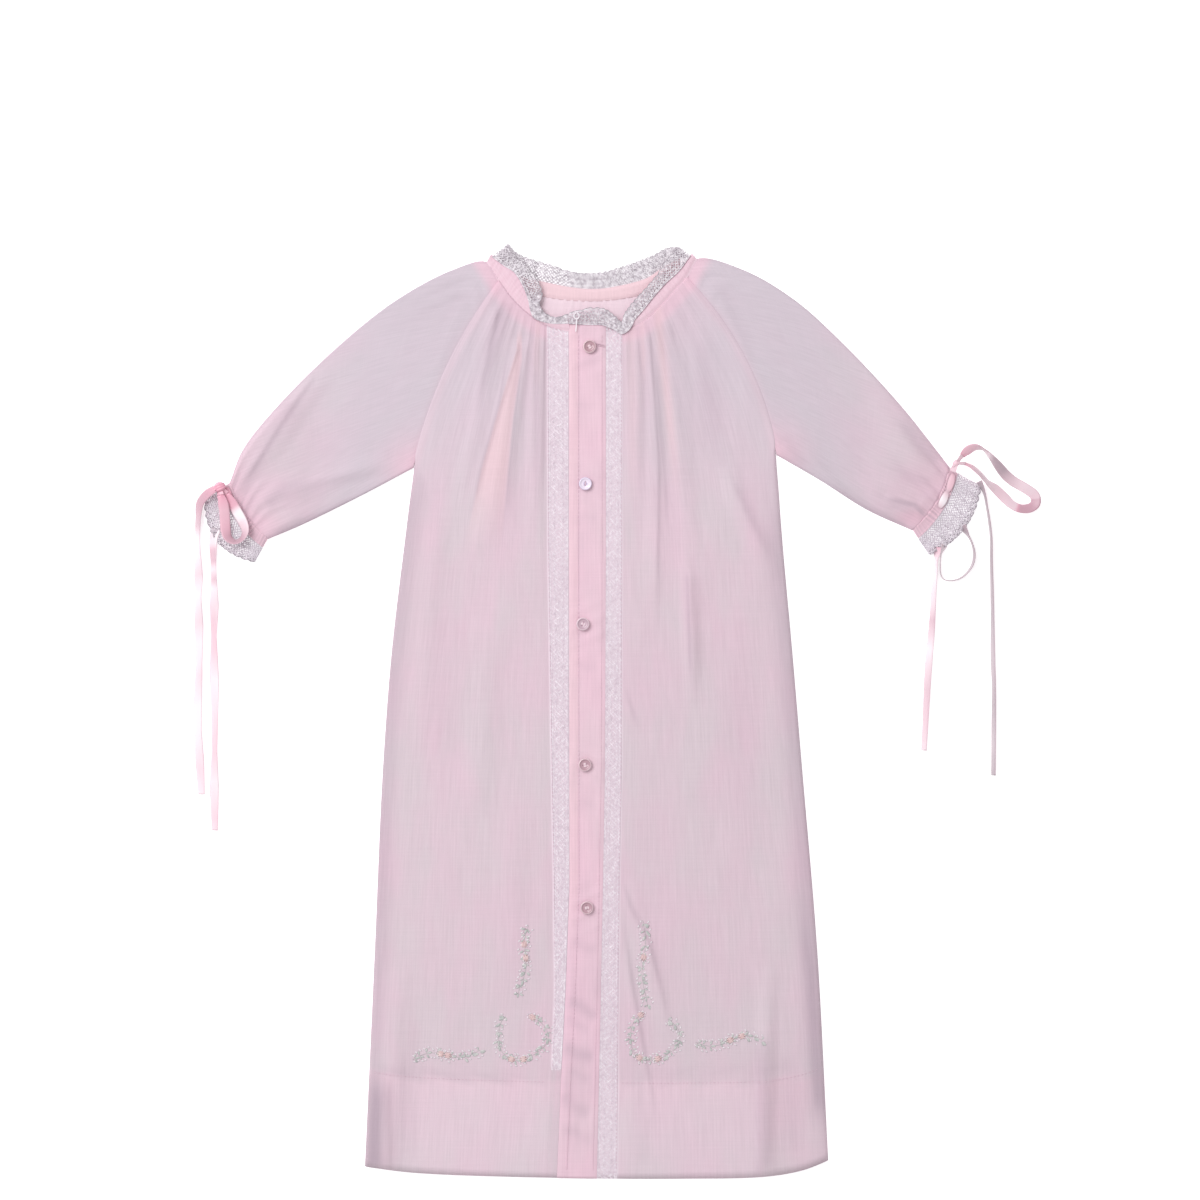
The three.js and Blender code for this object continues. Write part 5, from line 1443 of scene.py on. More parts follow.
lacePairs = {  # each row pairs a point on the sewn line with one on the free edge
    "back": [
        (-56.8, 259.8, -48.2, 268), (-50, 255.6, -43.6, 262.8), (-39.5, 248, -36, 259.4),
        (-26.5, 244.8, -24.8, 256.1), (-11.6, 241.9, -11.6, 251.8), (-2.8, 241, -2.8, 251),
        (6, 241.2, 6, 251.4), (14.8, 242.6, 14, 253.6), (23.6, 244.6, 22, 256.2),
        (31.5, 247.2, 28.6, 258.6), (39.5, 252.4, 35.6, 261.4), (47.5, 257, 42.5, 265.2),
        (55, 260.6, 50, 266),
    ],
    "left": [
        (-57.4, 260, -49.4, 266.6), (-51, 255.2, -42.6, 259.4), (-44.6, 251, -35.6, 252.6),
        (-39.6, 243, -30.4, 245), (-36.6, 235.2, -28.4, 238.4), (-35.4, 229.6, -30, 232.8),
        (-33.6, 225.4, -28.4, 229.4), (-29, 223, -26, 227), (-22.6, 221.8, -20.4, 225.2),
        (-13.8, 221.8, -13.5, 227.4),
    ],
    "right": [
        (-13.4, 221.6, -13.2, 228), (-2, 221, 1.4, 230.9), (5.6, 220.8, 8, 229.8),
        (11.3, 218.9, 12.6, 226.4), (17.5, 215.9, 16.8, 222.8), (21.7, 218.6, 18.6, 227.2),
        (24.7, 224.2, 21.6, 231.6), (29.1, 229.2, 25.8, 236.6), (34.8, 236.4, 31.4, 242.6),
        (42, 244.6, 37.4, 249.8), (49.8, 251.8, 42.8, 258.4), (56.6, 261, 50, 265.4),
    ],
}
ruffles = {  # marks: how dark (above 0, painted shade) or bright (below 0) each part of the lace is
    "back": {"base": 0.3, "waves": 13, "height": 1.3, "length": 130, "width": 9.4,
             "thread": 0.43, "marks": [0.05, 0.1, -0.2, 0.55, 0, 0.1, 0.1]},
    "left": {"base": 3.2, "waves": 7, "height": 1.5, "length": 72, "width": 8,
             "thread": 0.34, "marks": [0, 0, -0.6, 0.6, 0, -0.5, -0.2]},
    "right": {"base": 3.7, "waves": 8, "height": 1.3, "length": 96, "width": 8,
              "thread": 0.34, "marks": [0, 0, -0.6, 0.6, 0, -0.5, -0.2, -1]},
}


def ruffleSurface(name):
    # between the sewn line and the free edge, standing up in waves that grow towards the edge
    rows = np.array(lacePairs[name])
    sewn, free = curveThrough(rows[:, :2]), curveThrough(rows[:, 2:])
    spec = ruffles[name]

    def at(along, across):
        held = np.clip(along, 0, 1)
        wave = 0.5 - 0.5 * np.cos(2 * np.pi * spec["waves"] * held + np.sin(9 * held))
        z = spec["base"] + spec["height"] * wave * smooth(across * 0.85 + 0.15)
        return withHeight(mix(sewn(held), free(held), np.asarray(across)[..., None]), z)
    return at


def scallopOf(length, size=4.2, depth=0.09):
    # how far out the edge reaches along its length: arches of a sine, pointed between them
    count = int(length / size)
    return lambda along: 1 - depth + depth * np.abs(np.sin(np.pi * count * along)) ** 0.7


def scalloped(surface, scallop):
    # the surface drawn in so that its far edge is scalloped
    return lambda along, across: surface(along, across * scallop(along))


def addNeckLace(name):
    spec = ruffles[name]
    surface = ruffleSurface(name)
    scallop = scallopOf(spec["length"])
    worked = scalloped(surface, scallop)
    parts = [
        netThreads(worked, spec["length"], spec["width"], 0.2, 0.85, spec["thread"]),
        edgeThread(surface, 0.02, 0.42, 200),
        edgeThread(surface, 0.14, 0.26, 200),
        edgeThread(worked, 1, 0.26, 500),
        edgeThread(worked, 0.92, 0.3, 500),
        laceSprigs(surface, spec["length"], 5.2, 0.85, scallop, (0.34, 0.7)),
        laceVine(worked, spec["length"], 5.2, 0.52, 0.16, 0.26),
    ]
    if name == "right":
        parts.append(buttonLoop())
    return laced(f"shown_neck_lace_{name}", parts, spec["marks"], "neckLace",
                 f"neck_lace_{name}")


def buttonLoop():
    # a small worked loop of white thread at the top of the opening, with its tail
    angle = np.linspace(0.2, 2 * np.pi - 0.2, 24)
    ring = np.column_stack([-8.9 + 1.5 * np.sin(angle), 225.9 + 1.7 * np.cos(angle),
                            5.4 + 0 * angle])
    tail = np.column_stack([np.linspace(-8.7, -9.3, 24), np.linspace(224.2, 217, 24),
                            np.linspace(5.3, 4.5, 24)])
    return laceThread(np.stack([ring, tail]), 0.4)


neckLaces = {name: addNeckLace(name) for name in ruffles}
print("laces made")


# ---- neck bindings ----
casingEdge = {  # the inner edge of the gathered casing, under the sewn line of the lace
    "left": [(-58, 261.6), (-51.4, 256.4), (-44.2, 252.2), (-38.6, 243.2), (-35.6, 235.4),
             (-34.2, 229.8), (-32.2, 226.4), (-28.4, 224.4), (-22.4, 223), (-13.6, 222.8)],
    "right": [(57.4, 262), (49.2, 253), (41.4, 245.4), (34.2, 237), (28.4, 230),
              (25.4, 226.6), (20.4, 224), (10.6, 222.2), (0, 222.2), (-13.2, 222.4)],
}
binding = {  # keep: the share of the gathering line that each strip follows
    "keep": {"left": 0.89, "right": 1.0}, "steps": 330, "columns": 19, "outside": 0.9,
    "swell": 0.95, "low": 0.3, "under": 1.5,
}


def addBinding(name):
    # a gathered double strip between the gathering line and the lace, puckered across
    near, length = byLength(curveThrough(
        neck[name] if name == "left" else neck[name][:-1] + [(-13.2, 217)]))
    far, _ = byLength(curveThrough(casingEdge[name]))
    keep = binding["keep"][name]
    s = np.linspace(0, 1, binding["steps"])
    w = np.linspace(0, 1, binding["columns"])[None, :]
    start, stop = near(s * keep), far(s)
    outside = (start - stop) / np.linalg.norm(start - stop, axis=1, keepdims=True)
    start = start + outside * binding["outside"]
    plan = mix(start[:, None], stop[:, None], w[..., None])
    width = np.linalg.norm(start - stop, axis=1)[:, None]
    run = (s * keep * length)[:, None]
    wander = 2.6 * np.sin(run / 4.3) + 1.2 * np.sin(run / 1.9 + 4 * w)
    pucker = (np.sin(2 * np.pi * run / 3.1 + wander)
              + 0.6 * np.sin(2 * np.pi * run / 5.3 - wander + 3 * w))
    # it rises softly out of the gathers, and runs low under the trims at the centre
    free = smooth((plan[..., 0] - 15.5) / 5) if name == "right" else 1.0
    outerRim, innerRim = w * width, (1 - w) * width
    swell = smooth(outerRim / 3.6) * smooth(innerRim / 1.5)
    ripple = 0.05 * pucker * swell * free * np.sin(run / 7 + 1) ** 2
    z = frontTop - binding["low"] + (binding["swell"] * swell + 0.15) * free + ripple
    low = np.clip(0.5 - 0.3 * pucker, 0, 1)
    # painted shade in the hollows of the puckers and painted light on their crests; pale also draws a
    # light line just in from the gathered edge
    tone = {"double": 0.3 + 0 * z, "warm": 0.15 + 0 * z, "shade": 0.05 * low * swell,
            "pale": 0.3 * bell(outerRim - 0.9, 0.6) + 0.14 * (1 - low) * swell}
    grain = np.stack([w * width + 0 * z, run + 0 * z], -1)
    piece = shell(f"shown_neck_binding_{name}", withHeight(plan, z),
                  withHeight(plan, binding["under"] + 0 * z), tone, grain)
    return dressed(piece, finishes["double"], "double_batiste", f"neck_binding_{name}")


def addBackBand():
    # flat band inside the back neck, narrowing to its ends
    curve, length = byLength(curveThrough(neck["back"]))
    steps, columns = 120, 13
    s = np.linspace(0.03, 0.97, steps)
    line = curve(s)
    ends = np.sin(np.pi * np.linspace(0, 1, steps)) ** 0.4
    drop = mix(3, 7.2, ends)
    w = np.linspace(0, 1, columns)[None, :]
    x = line[:, :1] * mix(1, 0.99, w)
    sewnLine = curveThrough(np.array(lacePairs["back"])[:, :2])
    y = mix(heightOn(sewnLine, x[:, :1]) + 0.8, line[:, 1:] - drop[:, None], w)
    edge = smooth(np.minimum(w, 1 - w) * 7 / 1.8)
    z = 0.62 + 0.5 * edge + 0.5 * (1 - w) + 0.04 * np.sin(2 * np.pi * s[:, None] * 38 + 3 * w)
    upper = np.stack([x, y, z], -1)
    lower = np.stack([x, y, 0.5 + 0 * z], -1)
    tone = {"double": 0 * z, "warm": 0.9 + 0 * z, "pale": 0.15 + 0 * z}
    grain = np.stack([s[:, None] * length + 0 * z, w * 7 + 0 * z], -1)
    piece = shell("shown_neck_binding_back", upper, lower, tone, grain)
    return dressed(piece, finishes["double"], "double_batiste", "neck_binding_back")


bindings = [addBinding("left"), addBinding("right"), addBackBand()]


# ---- placket ----
placketPuckers = [  # slanting creases worked into the band, strongest low down, each also painted with shade along its line
    ([(-15, -167), (-7, -170), (4, -178)], 3.6, 0.27, 0.2, 0.2),
    ([(-16, -176), (-8, -181), (-1, -187)], 3.1, 0.15, 0.2, 0.3),
    ([(-17, -192), (-8, -198), (3, -200)], 3.9, 0.24, 0.2, 0.2),
    ([(-14, -206), (-6, -211), (2, -212)], 2.8, 0.14, 0.2, 0.3),
    ([(-18, -220), (-10, -228), (0, -233)], 4.2, 0.22, 0.2, 0.2),
    ([(-18, -240), (-9, -243), (1, -250)], 3.4, 0.15, 0.2, 0.3),
    ([(-12, -132), (-4, -137), (5, -139)], 3.4, 0.14, 0.2, 0.3),
    ([(-11, 28), (-3, 24), (6, 25)], 2.8, 0.09, 0.2, 0.3),
    ([(-11, 196), (-3, 200), (6, 199)], 2.8, 0.09, 0.2, 0.3),
    ([(-11, 176), (-2, 174), (6, 176)], 2.8, 0.08, 0.2, 0.3),
    ([(-12, 106), (-4, 111), (6, 110)], 2.8, 0.09, 0.2, 0.3),
    ([(-12, -58), (-4, -54), (5, -56)], 2.8, 0.09, 0.2, 0.3),
]
placketFold = 5.4  # width of the edge turned under at its left, which a row of stitches holds


def placketHeight(x, y):
    # soft slanting puckers, strongest round the buttons and towards the hem
    pull = np.zeros_like(x)
    for k, (bx, by) in enumerate(buttonPlaces):
        near = bell(y - by, 16) + 0.25
        slant = np.sin(2 * np.pi * (y - by + (x - bx) * (0.55 if k % 2 else -0.45)) / 9.5 + k)
        pull = np.maximum(pull, near * (0.5 + 0.5 * slant) ** 2)
    return 0.42 * pull + 0.1 * noise(x, y, 31, 22) - 0.9 * veil(placketPuckers, x, y)


def addPlacket():
    rows, columns = 290, 30
    surface = bandSurface(lambda y: trimX("placketLeft", y), lambda y: trimX("placketRight", y) + 0.5,
                          lambda x: necklineY + 4.6 + 0 * x, lambda x: heightOn(hemCurve, x), 0)
    along = np.linspace(0, 1, rows)[:, None] + np.zeros((1, columns))
    across = 0.5 - 0.5 * np.cos(np.pi * np.linspace(0, 1, columns))[None, :] + 0 * along
    plan = surface(along, across)
    x, y = plan[..., 0], plan[..., 1]
    left, right = trimX("placketLeft", y), trimX("placketRight", y) + 0.5
    inset = np.minimum(x - left, right - x)
    edge = 1 - (1 - np.clip(inset / 3, 0, 1)) ** 2
    groove = 0.16 * bell(x - left - placketFold, 0.6) + 0.08 * bell(right - x - 1.6, 0.5)
    z = trimBase + 0.1 + 0.55 * edge - groove + (placketHeight(x, y) - 0.15) * smooth(inset / 2)
    top = np.stack([x, y, z], -1)
    bottom = np.stack([x, y, trimBase + 0 * z], -1)
    fold = smooth((left + placketFold - x) / 0.6)
    low = smooth((-y - 90) / 60)
    # painted shade along the slanting creases, and a random darker mottling that grows low down and
    # fades near the hem
    creaseShadeAndMottle = 0.05 * noise(x * 2, y, 33, 26) + 1.1 * veil(placketPuckers, x, y)
    creaseShadeAndMottle = creaseShadeAndMottle + 0.1 * low * smooth(noise(x, y, 35, 34) * 1.5) * (1 - smooth((-y - 215) / 30))
    # warmer over the turned-under edge; painted shade in a line beside it and a little all over
    tones = {"double": 0.2 + 0 * fold, "warm": 0.32 * fold * smooth((y + 150) / 60) + 0.08 * (1 - low),
             "shade": np.clip(0.1 * bell(x - left - (placketFold + 0.5), 0.6) + creaseShadeAndMottle + 0.05, 0, 1)}
    grain = np.stack([x, y], -1)
    piece = shell("shown_placket", top, bottom, tones, grain)
    return dressed(piece, finishes["double"], "double_batiste", "placket")


placket = addPlacket()
print("bindings and placket made")


# ---- buttons ----
buttonTones = [  # ring, then middle: partly the pearl's own tones, partly painted rim shade and highlights
    ((186, 148, 158), (250, 226, 230)), ((240, 226, 244), (206, 190, 220)),
    ((200, 170, 184), (250, 228, 236)), ((190, 152, 164), (250, 228, 234)),
    ((190, 152, 164), (250, 228, 234)),
]
buttonLeans = [35, 80, 60, 20, 100]  # how far each pair of holes is turned, in degrees
button = {"around": 48, "holeAway": 0.95, "holeWidth": 0.42, "holeDepth": 0.8, "dish": 1.24}


def addButton(number):
    # turned rim and dish, with two thread holes sunk in the dish
    profile = np.array([(2.95, 0), (3.45, 0.15), (3.75, 0.6), (3.75, 1.35), (3.68, 1.75), (3.4, 1.97),
                        (3.05, 1.98), (2.8, 1.8), (2.6, 1.5), (2.3, 1.36), (1.9, 1.3), (1.55, 1.28),
                        (1.25, 1.27), (1, 1.26), (0.8, 1.26), (0.6, 1.26), (0.4, 1.26), (0.2, 1.26)])
    around = button["around"]
    angle = 2 * np.pi * np.arange(around) / around
    r, z = profile[:, :1], profile[:, 1:]
    x, y = r * np.cos(angle), r * np.sin(angle)
    z = z + 0 * x
    upperFace = (np.arange(len(r)) > 6)[:, None]
    lean = np.radians(buttonLeans[number - 1])
    across, up = turnedBy(x, y, -lean)
    hole = bell(np.hypot(np.abs(across) - button["holeAway"], up), button["holeWidth"])
    z = z - button["holeDepth"] * hole * upperFace
    place = buttonPlaces[number - 1]
    base = placketTop - 0.1
    ringPoints = np.stack([x + place[0], y + place[1], z + base], -1).reshape(-1, 3)
    poles = np.array([(place[0], place[1], base), (place[0], place[1], base + button["dish"])])
    rings = len(r)
    index = np.arange(rings * around).reshape(rings, around)
    wall = ringWall(index)[:, [0, 3, 2, 1]]
    lowPole, highPole = rings * around, rings * around + 1
    lowFan = np.stack([np.full(around, lowPole), np.roll(index[0], -1), index[0]], -1)
    highFan = np.stack([np.full(around, highPole), index[-1], np.roll(index[-1], -1)], -1)
    points = np.concatenate([ringPoints, poles])
    radius = np.concatenate([(r + 0 * x).ravel(), [0, 0]])
    # 1 over the dish, where the ring tone paints the rim's shade; 0 in the middle and low on the outer
    # edge, where the middle tone paints the highlights
    ring = smooth((radius - 0.85) / 0.5) * (1 - 0.75 * smooth((radius - 3.2) / 0.35))
    piece = addMesh(f"shown_button_{number}", points, [wall, lowFan, highFan], {"ring": ring})
    dressed(piece, pearlFinish(f"pearl_{number}", *buttonTones[number - 1]), "pearl",
            f"button_{number}")
    # thread bars across the holes
    share = np.linspace(-1, 1, 9)
    bars = []
    for offset in (-0.16, 0.16):
        bx, by = turnedBy(share * 1.05, offset, lean)
        bars.append(np.stack([bx + place[0], by + place[1], base + 1.36 - 0.45 * share**6], -1))
    return threadParts(np.array(bars), 0.17, 5)


buttonThreads = joined([addButton(number) for number in range(1, 6)])


# ---- sewing ----
def stitchRow(line, spacing, length, radius):
    # short arched threads set at even spaces along a line of points, their ends sunk in the cloth
    arch, sunk = 0.16, 0.06
    travelled = lengthsAlong(line)
    starts = np.arange(spacing / 2, travelled[-1] - length, spacing)
    share = np.linspace(0, 1, 5)
    at = starts[:, None] + share * length
    path = np.stack([np.interp(at, travelled, line[:, k]) for k in range(3)], -1)
    path[..., 2] += arch * np.sin(np.pi * share) - sunk
    return threadParts(path, radius, 4)


def downFront(edge, aside, height, lastY=-266):
    # a line down the front beside the edge of a trim
    y = np.linspace(216, lastY, 300)
    x = trimX(edge, y) + aside
    return np.column_stack([x, y, height(x, y)])


def placketZ(x, y):
    return trimBase + 0.6 + placketHeight(x, y) * 0.8


def hemLine(name, offset):
    start, stop = {"left": (-126, -27), "right": (16, 130)}[name]
    x = np.linspace(start, stop, 160)
    y = heightOn(hemCurve, x) + offset
    return np.column_stack([x, y, heightAt[name](x, y) + 0.06])


def bandStitches(x, y):
    return frontTop + 0.3 + 0 * x


sewn = [
    buttonThreads,
    stitchRow(downFront("placketLeft", placketFold, placketZ), 2.4, 1.7, 0.14),
    stitchRow(downFront("placketRight", -1.8, placketZ), 2.4, 1.7, 0.12),
    stitchRow(downFront("laceLeft", 0.5, bandStitches, -206), 2.2, 1.5, 0.13),
    stitchRow(downFront("laceRight", -0.4, bandStitches), 2.2, 1.5, 0.13),
    stitchRow(hemLine("left", front["hemDepth"]), 2.2, 1.1, 0.12),
    stitchRow(hemLine("right", front["hemDepth"]), 2.2, 1.1, 0.12),
]


def buttonhole(place, first):
    # a worked slit under the button: close bars across it on both sides; the first one runs
    # sideways and shows past the button, the rest run up and down under theirs
    step = np.linspace(0, 1, 14)
    if first:
        x = place[0] + 4.0 + 4.6 * step
        y = place[1] + 1.1 - 0.9 * step**2
        out = np.array([0, 1])
    else:
        x, y = place[0] + 0 * step, place[1] + 7.2 * (step - 0.5)
        out = np.array([1, 0])
    parts = []
    for side in (-1, 1):
        share = np.linspace(0, 1, 4)[None, :]
        reach = side * (0.18 + 0.5 * share)
        path = np.stack([x[:, None] + out[0] * reach, y[:, None] + out[1] * reach,
                         placketZ(x, y)[:, None] + 0.2 + 0.1 * np.sin(np.pi * share)], -1)
        parts.append(threadParts(path, 0.15, 4))
    return joined(parts)


def casingStitches(name):
    # the gathering line: one long line of small stitches round the casing
    line = byLength(curveThrough(neck[name]))[0](np.linspace(0.03, 0.84, 200))
    return stitchRow(np.column_stack([line, frontTop + 0.3 + 0 * line[:, 0]]), 2.2, 1.5, 0.13)


sewn.extend(buttonhole(place, k == 0) for k, place in enumerate(buttonPlaces))
sewn.append(casingStitches("left"))
sewing = dressed(addMesh("shown_sewing", *joined(sewn)), finishes["sewing"], "sewing_thread")


# ---- cuffs ----
def cuffEnds(name, distance):
    a, b = np.array(sleeve[name]["under"][-1]), np.array(sleeve[name]["shoulder"][-1])
    along = (b - a) / np.linalg.norm(b - a)
    out = np.array([outward[name] * abs(along[1]), -abs(along[0])])
    distance = np.asarray(distance, float)[..., None]
    return (a + out * distance + along * (cuff["inset"] - cuff["spread"] * distance),
            b + out * distance - along * cuff["inset"])


def cuffPucker(f, v):
    # a sine whose wavelength and strength wander along the band
    wander = 0.5 * np.sin(9 * f + 1.2 * v) + 0.13 * np.sin(31 * f - 1.5 * v)
    return np.sin(2 * np.pi * (22 * f + wander)) * (0.55 + 0.45 * np.sin(17 * f + 2))


def addCuffBand(name):
    # gathered band: close puckers across it between two rolled edges
    rings = 26
    distance = np.linspace(-0.9, gap + cuff["bandWidth"], rings)
    a, b = cuffEnds(name, distance)
    v = np.linspace(-0.2, 1, rings)[:, None]
    roll = bell(v, 0.16) + bell(v - 1, 0.16)

    def topAt(f, x, y):
        inside = fading(f, 0.1, 0.1) * smooth((v + 0.2) / 0.2)
        return frontTop + inside * (cuff["bandRise"] * (0.72 + 0.28 * roll)
                                    + 0.3 * cuffPucker(f, v))

    outer, inner, f = flatTube(a, b, cuffBow[name] + 0 * distance, topAt, 110)
    pucker = 0.5 - 0.5 * cuffPucker(f, v)
    tones = {"double": ringed(0.9 + 0 * f), "warm": ringed(0.2 + 0 * f),
             "shade": ringed(0.5 * pucker**1.5 + 0.1 * (1 - roll))}
    piece = addTube(f"shown_cuff_band_{name}", outer, inner, tones, (f * 40, v * 5))
    return dressed(piece, finishes["double"], "lace", f"cuff_band_{name}")


def addCuffLace(name):
    # a flattened tube of net, scalloped at its free edge, waving more towards it
    startA, startB = cuffEnds(name, cuff["bandWidth"] + 2 * gap)
    end = cuffLace[name]
    rings, waves = 24, 7
    t = np.linspace(0, 1, rings)
    a = mix(startA, np.array(end["under"]), t[:, None])
    b = mix(startB, np.array(end["shoulder"]), t[:, None])

    def topAt(f, x, y):
        wave = 0.5 - 0.5 * np.cos(2 * np.pi * waves * f + 1.2 * np.sin(5 * f))
        return frontTop + fading(f, 0.08, 0.08) * (0.3 + mix(0.5, 1.5, t[:, None]) * wave)

    outer, _, _ = flatTube(a, b, mix(cuffBow[name], end["bow"], t), topAt, 60, 0.25)
    count = outer.shape[1]
    steps = np.linalg.norm(np.roll(outer[-1], -1, 0) - outer[-1], axis=1)
    ringLength = steps.sum()
    travelled = np.concatenate([[0], np.cumsum(steps)]) / ringLength

    def surface(along, across):
        place = np.interp(np.asarray(along) % 1.0000001, travelled, np.arange(count + 1))
        k = np.minimum(place.astype(int), count - 1)
        w = (place - k)[..., None]
        row = np.clip(np.asarray(across), 0, 1) * (rings - 1)
        r = np.minimum(row.astype(int), rings - 2)
        q = (row - r)[..., None]
        near = mix(outer[r, k], outer[r, (k + 1) % count], w)
        far = mix(outer[r + 1, k], outer[r + 1, (k + 1) % count], w)
        return mix(near, far, q)

    width = np.linalg.norm(mix(a[-1], b[-1], 0.5) - mix(a[0], b[0], 0.5)) + 2
    scallop = scallopOf(ringLength, 4.6, 0.1)
    worked = scalloped(surface, scallop)
    parts = [
        netThreads(worked, ringLength, width, 0.2, 0.95, 0.23),
        edgeThread(surface, 0.02, 0.4, 240),
        edgeThread(worked, 1, 0.3, 400),
        edgeThread(worked, 0.93, 0.26, 400),
        laceSprigs(surface, ringLength / 2, 4.8, 0.9, scallop, (0.26, 0.5, 0.76), (0.02, 0.47)),
        laceVine(worked, ringLength, 7.5, 0.5, 0.25, 0.24),
        holeShadeBeads(surface, scallop),
    ]
    return laced(f"shown_cuff_lace_{name}", parts, [0, 0, 0.5, 0, 0, 0, 1], "cuffLace",
                 f"cuff_lace_{name}")


def holeShadeBeads(surface, scallop, count=26):
    # small dark beads at the roots of the scallops: painted shade standing for the open holes there
    along = np.tile(np.linspace(0.01, 0.49, count), 2)
    across = np.repeat([0.97, 0.84], count) * scallop(along)
    along = along + np.repeat([0, 0.009], count)
    place = surface(along, across) + [0, 0, 0.12]
    return beadParts(place, np.tile([0.42, 0.36, 0.2], (2 * count, 1)), 0 * along, 4, 6)


threaded = {  # share of the band where the ribbon shows, its humps, and where it catches the light (a painted highlight)
    "left": {"stops": (0.4, 0.97), "humps": 2, "light": 0.16, "glow": 0.13, "tone": 1.0},
    "right": {"stops": (0.47, 0.96), "humps": 2, "light": 0.22, "glow": 0.2, "tone": 0.6},
}


def addCuffRibbon(name):
    # ribbon threaded through the band: it shows in short humps between the threads that hold it
    spec = threaded[name]
    base = frontTop + cuff["bandRise"] + gap
    columns, rows = 90, 11
    v = np.linspace(0, 1, rows)[:, None]
    a, b = cuffEnds(name, mix(gap + 0.4, gap + cuff["bandWidth"] - 0.4, v[:, 0]))
    f = np.linspace(0, 1, columns)[None, :] + 0 * v
    plan = bowedPoint(a[:, None], b[:, None], cuffBow[name] + 0 * f, mix(*spec["stops"], f))
    hump = np.abs(np.sin(np.pi * spec["humps"] * f)) ** 0.7
    narrow = plan.mean(0, keepdims=True)
    plan = mix(narrow, plan, (0.5 + 0.5 * hump)[..., None])
    z = base + 0.1 + 0.9 * hump - 0.3 * (2 * v - 1) ** 2
    top = withHeight(plan, z)
    bottom = top - [0, 0, 0.3]
    # a painted highlight where the ribbon catches the light; shade paints the dips between the humps
    # and a line along its first edge
    white = bell(f - spec["light"], spec["glow"])
    tones = {"tone": spec["tone"] * (1 - white), "selvedge": 0 * f,
             "shade": np.clip(0.4 * (1 - hump) ** 2 + 0.5 * bell(v, 0.12) * (1 - white), 0, 1)}
    grain = np.stack([v * 3 + 0 * f, f * 30], -1)
    piece = shell(f"shown_cuff_ribbon_{name}", top, bottom, tones, grain)
    return dressed(piece, finishes["satin"], "satin_ribbon", f"cuff_ribbon_{name}")


cuffs = {name: [addCuffBand(name), addCuffLace(name), addCuffRibbon(name)]
         for name in outward}
print("buttons, sewing and cuffs made")


# ---- embroidery ----
embroidery = {  # each vine with the shares of its length that carry rosebuds
    "left": {
        "upright": ((-36.5, -124), (-41, -163), -1.4), "uprightBuds": (0.27, 0.47),
        "garland": (-40.4, -187.6, 14.2, 68, -62, 128, 290), "shortBuds": (0.04,),
        "longBuds": (0.72, 0.9),
        "spray": ((-103, -201), (-64.5, -195.6), 2.4), "sprayBuds": (0.42, 0.52),
    },
    "right": {
        "upright": ((29.2, -121), (30.6, -170.5), 1.3), "uprightBuds": (0.42,),
        "garland": (35.4, -187.8, 14.2, 112, 242, 52, -110), "shortBuds": (0.06, 0.96),
        "longBuds": (0.8,), "spray": ((59.5, -191), (97.5, -189.5), -2.6), "sprayBuds": (0.52, 0.7),
    },
}


def vineAlong(start, stop, sway, waves=1.2, steps=60):
    # a straight line from start to stop with a sine swaying across it
    start, stop = np.array(start), np.array(stop)
    t = np.linspace(0, 1, steps)
    along = (stop - start) / np.linalg.norm(stop - start)
    across = np.array([-along[1], along[0]])
    return mix(start, stop, t[:, None]) + across * (sway * np.sin(2 * np.pi * waves * t))[:, None]


def garlandArm(x, y, radius, begin, end, steps=60):
    # part of a ring, between two angles in degrees, with a slow ripple in its radius
    angle = np.radians(np.linspace(begin, end, steps))
    reach = radius * (1 + 0.07 * np.cos(3 * angle))
    return np.column_stack([x + reach * np.cos(angle), y + 0.94 * reach * np.sin(angle)])


bullions = (  # the stitches of a rosebud: place across it, half length and height
    (-0.95, 1.7, 0.3), (0, 2.4, 0.3), (0.95, 1.8, 0.3), (0.4, 1.2, 0.5), (-0.45, 1.1, 0.5),
)


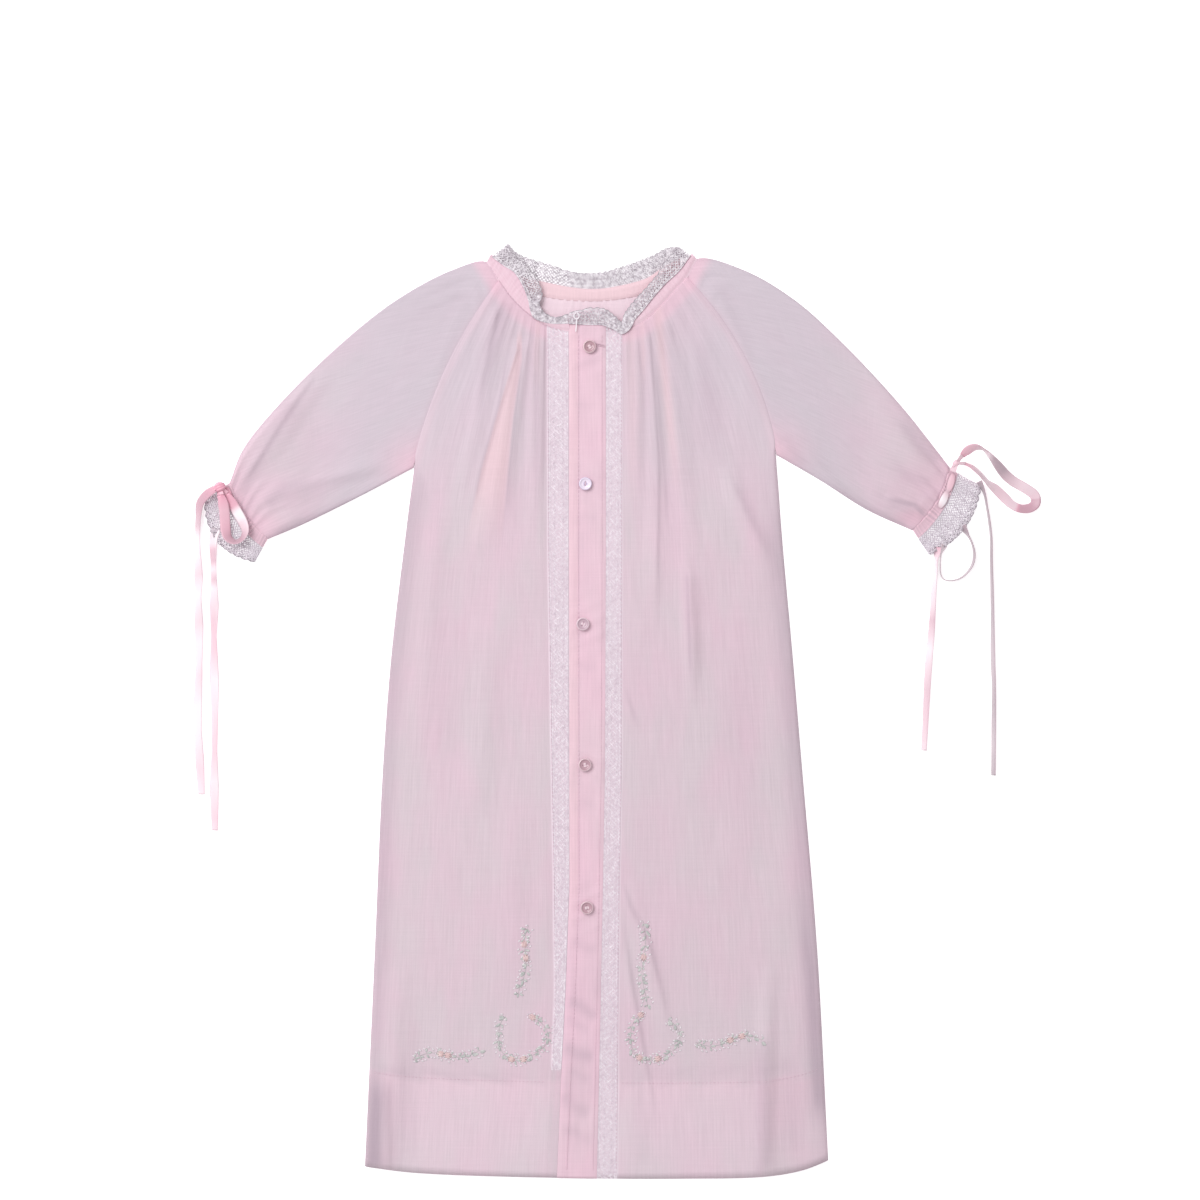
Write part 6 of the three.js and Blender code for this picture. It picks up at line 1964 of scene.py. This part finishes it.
def sprig(name, line, buds, seed, spacing=4.3):
    # fans of three leaf stitches in turn on each side of a pale stem, small white stitches
    # between them, and rosebuds at shares of its length
    rng = np.random.default_rng(seed)
    travelled = lengthsAlong(line)

    def placeAt(far):
        return [np.interp(far, travelled, line[:, k]) for k in (0, 1)]

    def headingAt(far):
        return np.arctan2(np.interp(far, travelled, np.gradient(line[:, 1])),
                          np.interp(far, travelled, np.gradient(line[:, 0])))

    def laid(x, y, lift):
        return np.column_stack([x, y, heightAt[name](x, y) + lift])

    def aside(far, out, turn):
        # a point at some distance from the stem, in the direction of turn
        x, y = placeAt(far)
        return x + out * np.cos(turn), y + out * np.sin(turn)

    spots = np.arange(0.8, travelled[-1], spacing)
    spots = spots + rng.uniform(-1, 1, len(spots))
    side = np.where(rng.uniform(0, 1, len(spots)) < 0.5, 1, -1)
    spots, side = np.repeat(spots, 3), np.repeat(side, 3)
    fan = np.tile([0.3, 1, -0.9], len(spots) // 3)
    turn = headingAt(spots) + side * (fan + rng.uniform(-0.35, 0.35, len(fan)))
    size = rng.uniform(1, 1.7, len(spots)) * np.tile([1.15, 0.95, 0.8], len(spots) // 3)
    x, y = aside(spots, size * rng.uniform(1.05, 1.7, len(spots)), turn)
    leaves = beadParts(laid(x, y, 0.1), np.column_stack([size, 0.48 * size, 0.2 + 0 * size]),
                       turn, 5, 7)
    stem = laid(line[:, 0], line[:, 1], 0.06)[None]
    dots = np.arange(0.3, travelled[-1], 1.1)
    turn = headingAt(dots) + np.where(np.arange(len(dots)) % 2, 1.5, -1.5)
    x, y = aside(dots, rng.uniform(0.8, 3.6, len(dots)), turn)
    halo = [beadParts(laid(x, y, 0.05), np.tile([1.05, 0.5, 0.14], (len(dots), 1)), turn + 0.8,
                      3, 6)]
    rose = []
    for share in buds:
        (bx, by), heading = placeAt(share * travelled[-1]), headingAt(share * travelled[-1])
        middle = laid(bx, by, 0)
        u = np.linspace(-1, 1, 9)
        # short fat rolls side by side, the middle one the longest, two more on top of them
        for shift, reach, lift in bullions:
            px, py = turnedBy(reach * u + 0.2, shift * (1 + 0.25 * (1 - u**2)), heading)
            path = middle + np.column_stack([px, py, lift + 0 * u])
            rose.append(threadParts(path[None], 0.42 * (1 - 0.5 * u**4), 6))
        ring = np.linspace(0, 2 * np.pi, 9)[:-1] + rng.uniform(0, 1)
        px, py = turnedBy(2.9 * np.cos(ring), 2.0 * np.sin(ring), heading)
        halo.append(beadParts(middle + np.column_stack([px, py, 0.08 + 0 * ring]),
                              np.tile([0.8, 0.36, 0.2], (8, 1)), ring + heading + 1.4, 4, 6))
    return [leaves, threadParts(stem, 0.13, 4)], rose, halo


def addEmbroidery(name):
    spec = embroidery[name]
    x, y, radius, shortFrom, shortTo, longFrom, longTo = spec["garland"]
    parts = [
        sprig(name, vineAlong(*spec["upright"]), spec["uprightBuds"], 41),
        sprig(name, garlandArm(x, y, radius, shortFrom, shortTo), spec["shortBuds"], 42),
        sprig(name, garlandArm(x, y, radius, longFrom, longTo), spec["longBuds"], 44),
        sprig(name, vineAlong(*spec["spray"], 1), spec["sprayBuds"], 43),
    ]
    made = []
    for k, (key, slot) in enumerate((("leaf", "leaf_thread"), ("bud", "bud_thread"),
                                     ("halo", "sewing_thread"))):
        shapes = [shape for part in parts for shape in part[k]]
        piece = addMesh(f"shown_{key}_stitches_{name}", *joined(shapes))
        made.append(dressed(piece, finishes[key], slot))
    return made


stitched = {name: addEmbroidery(name) for name in embroidery}
print("embroidery made")
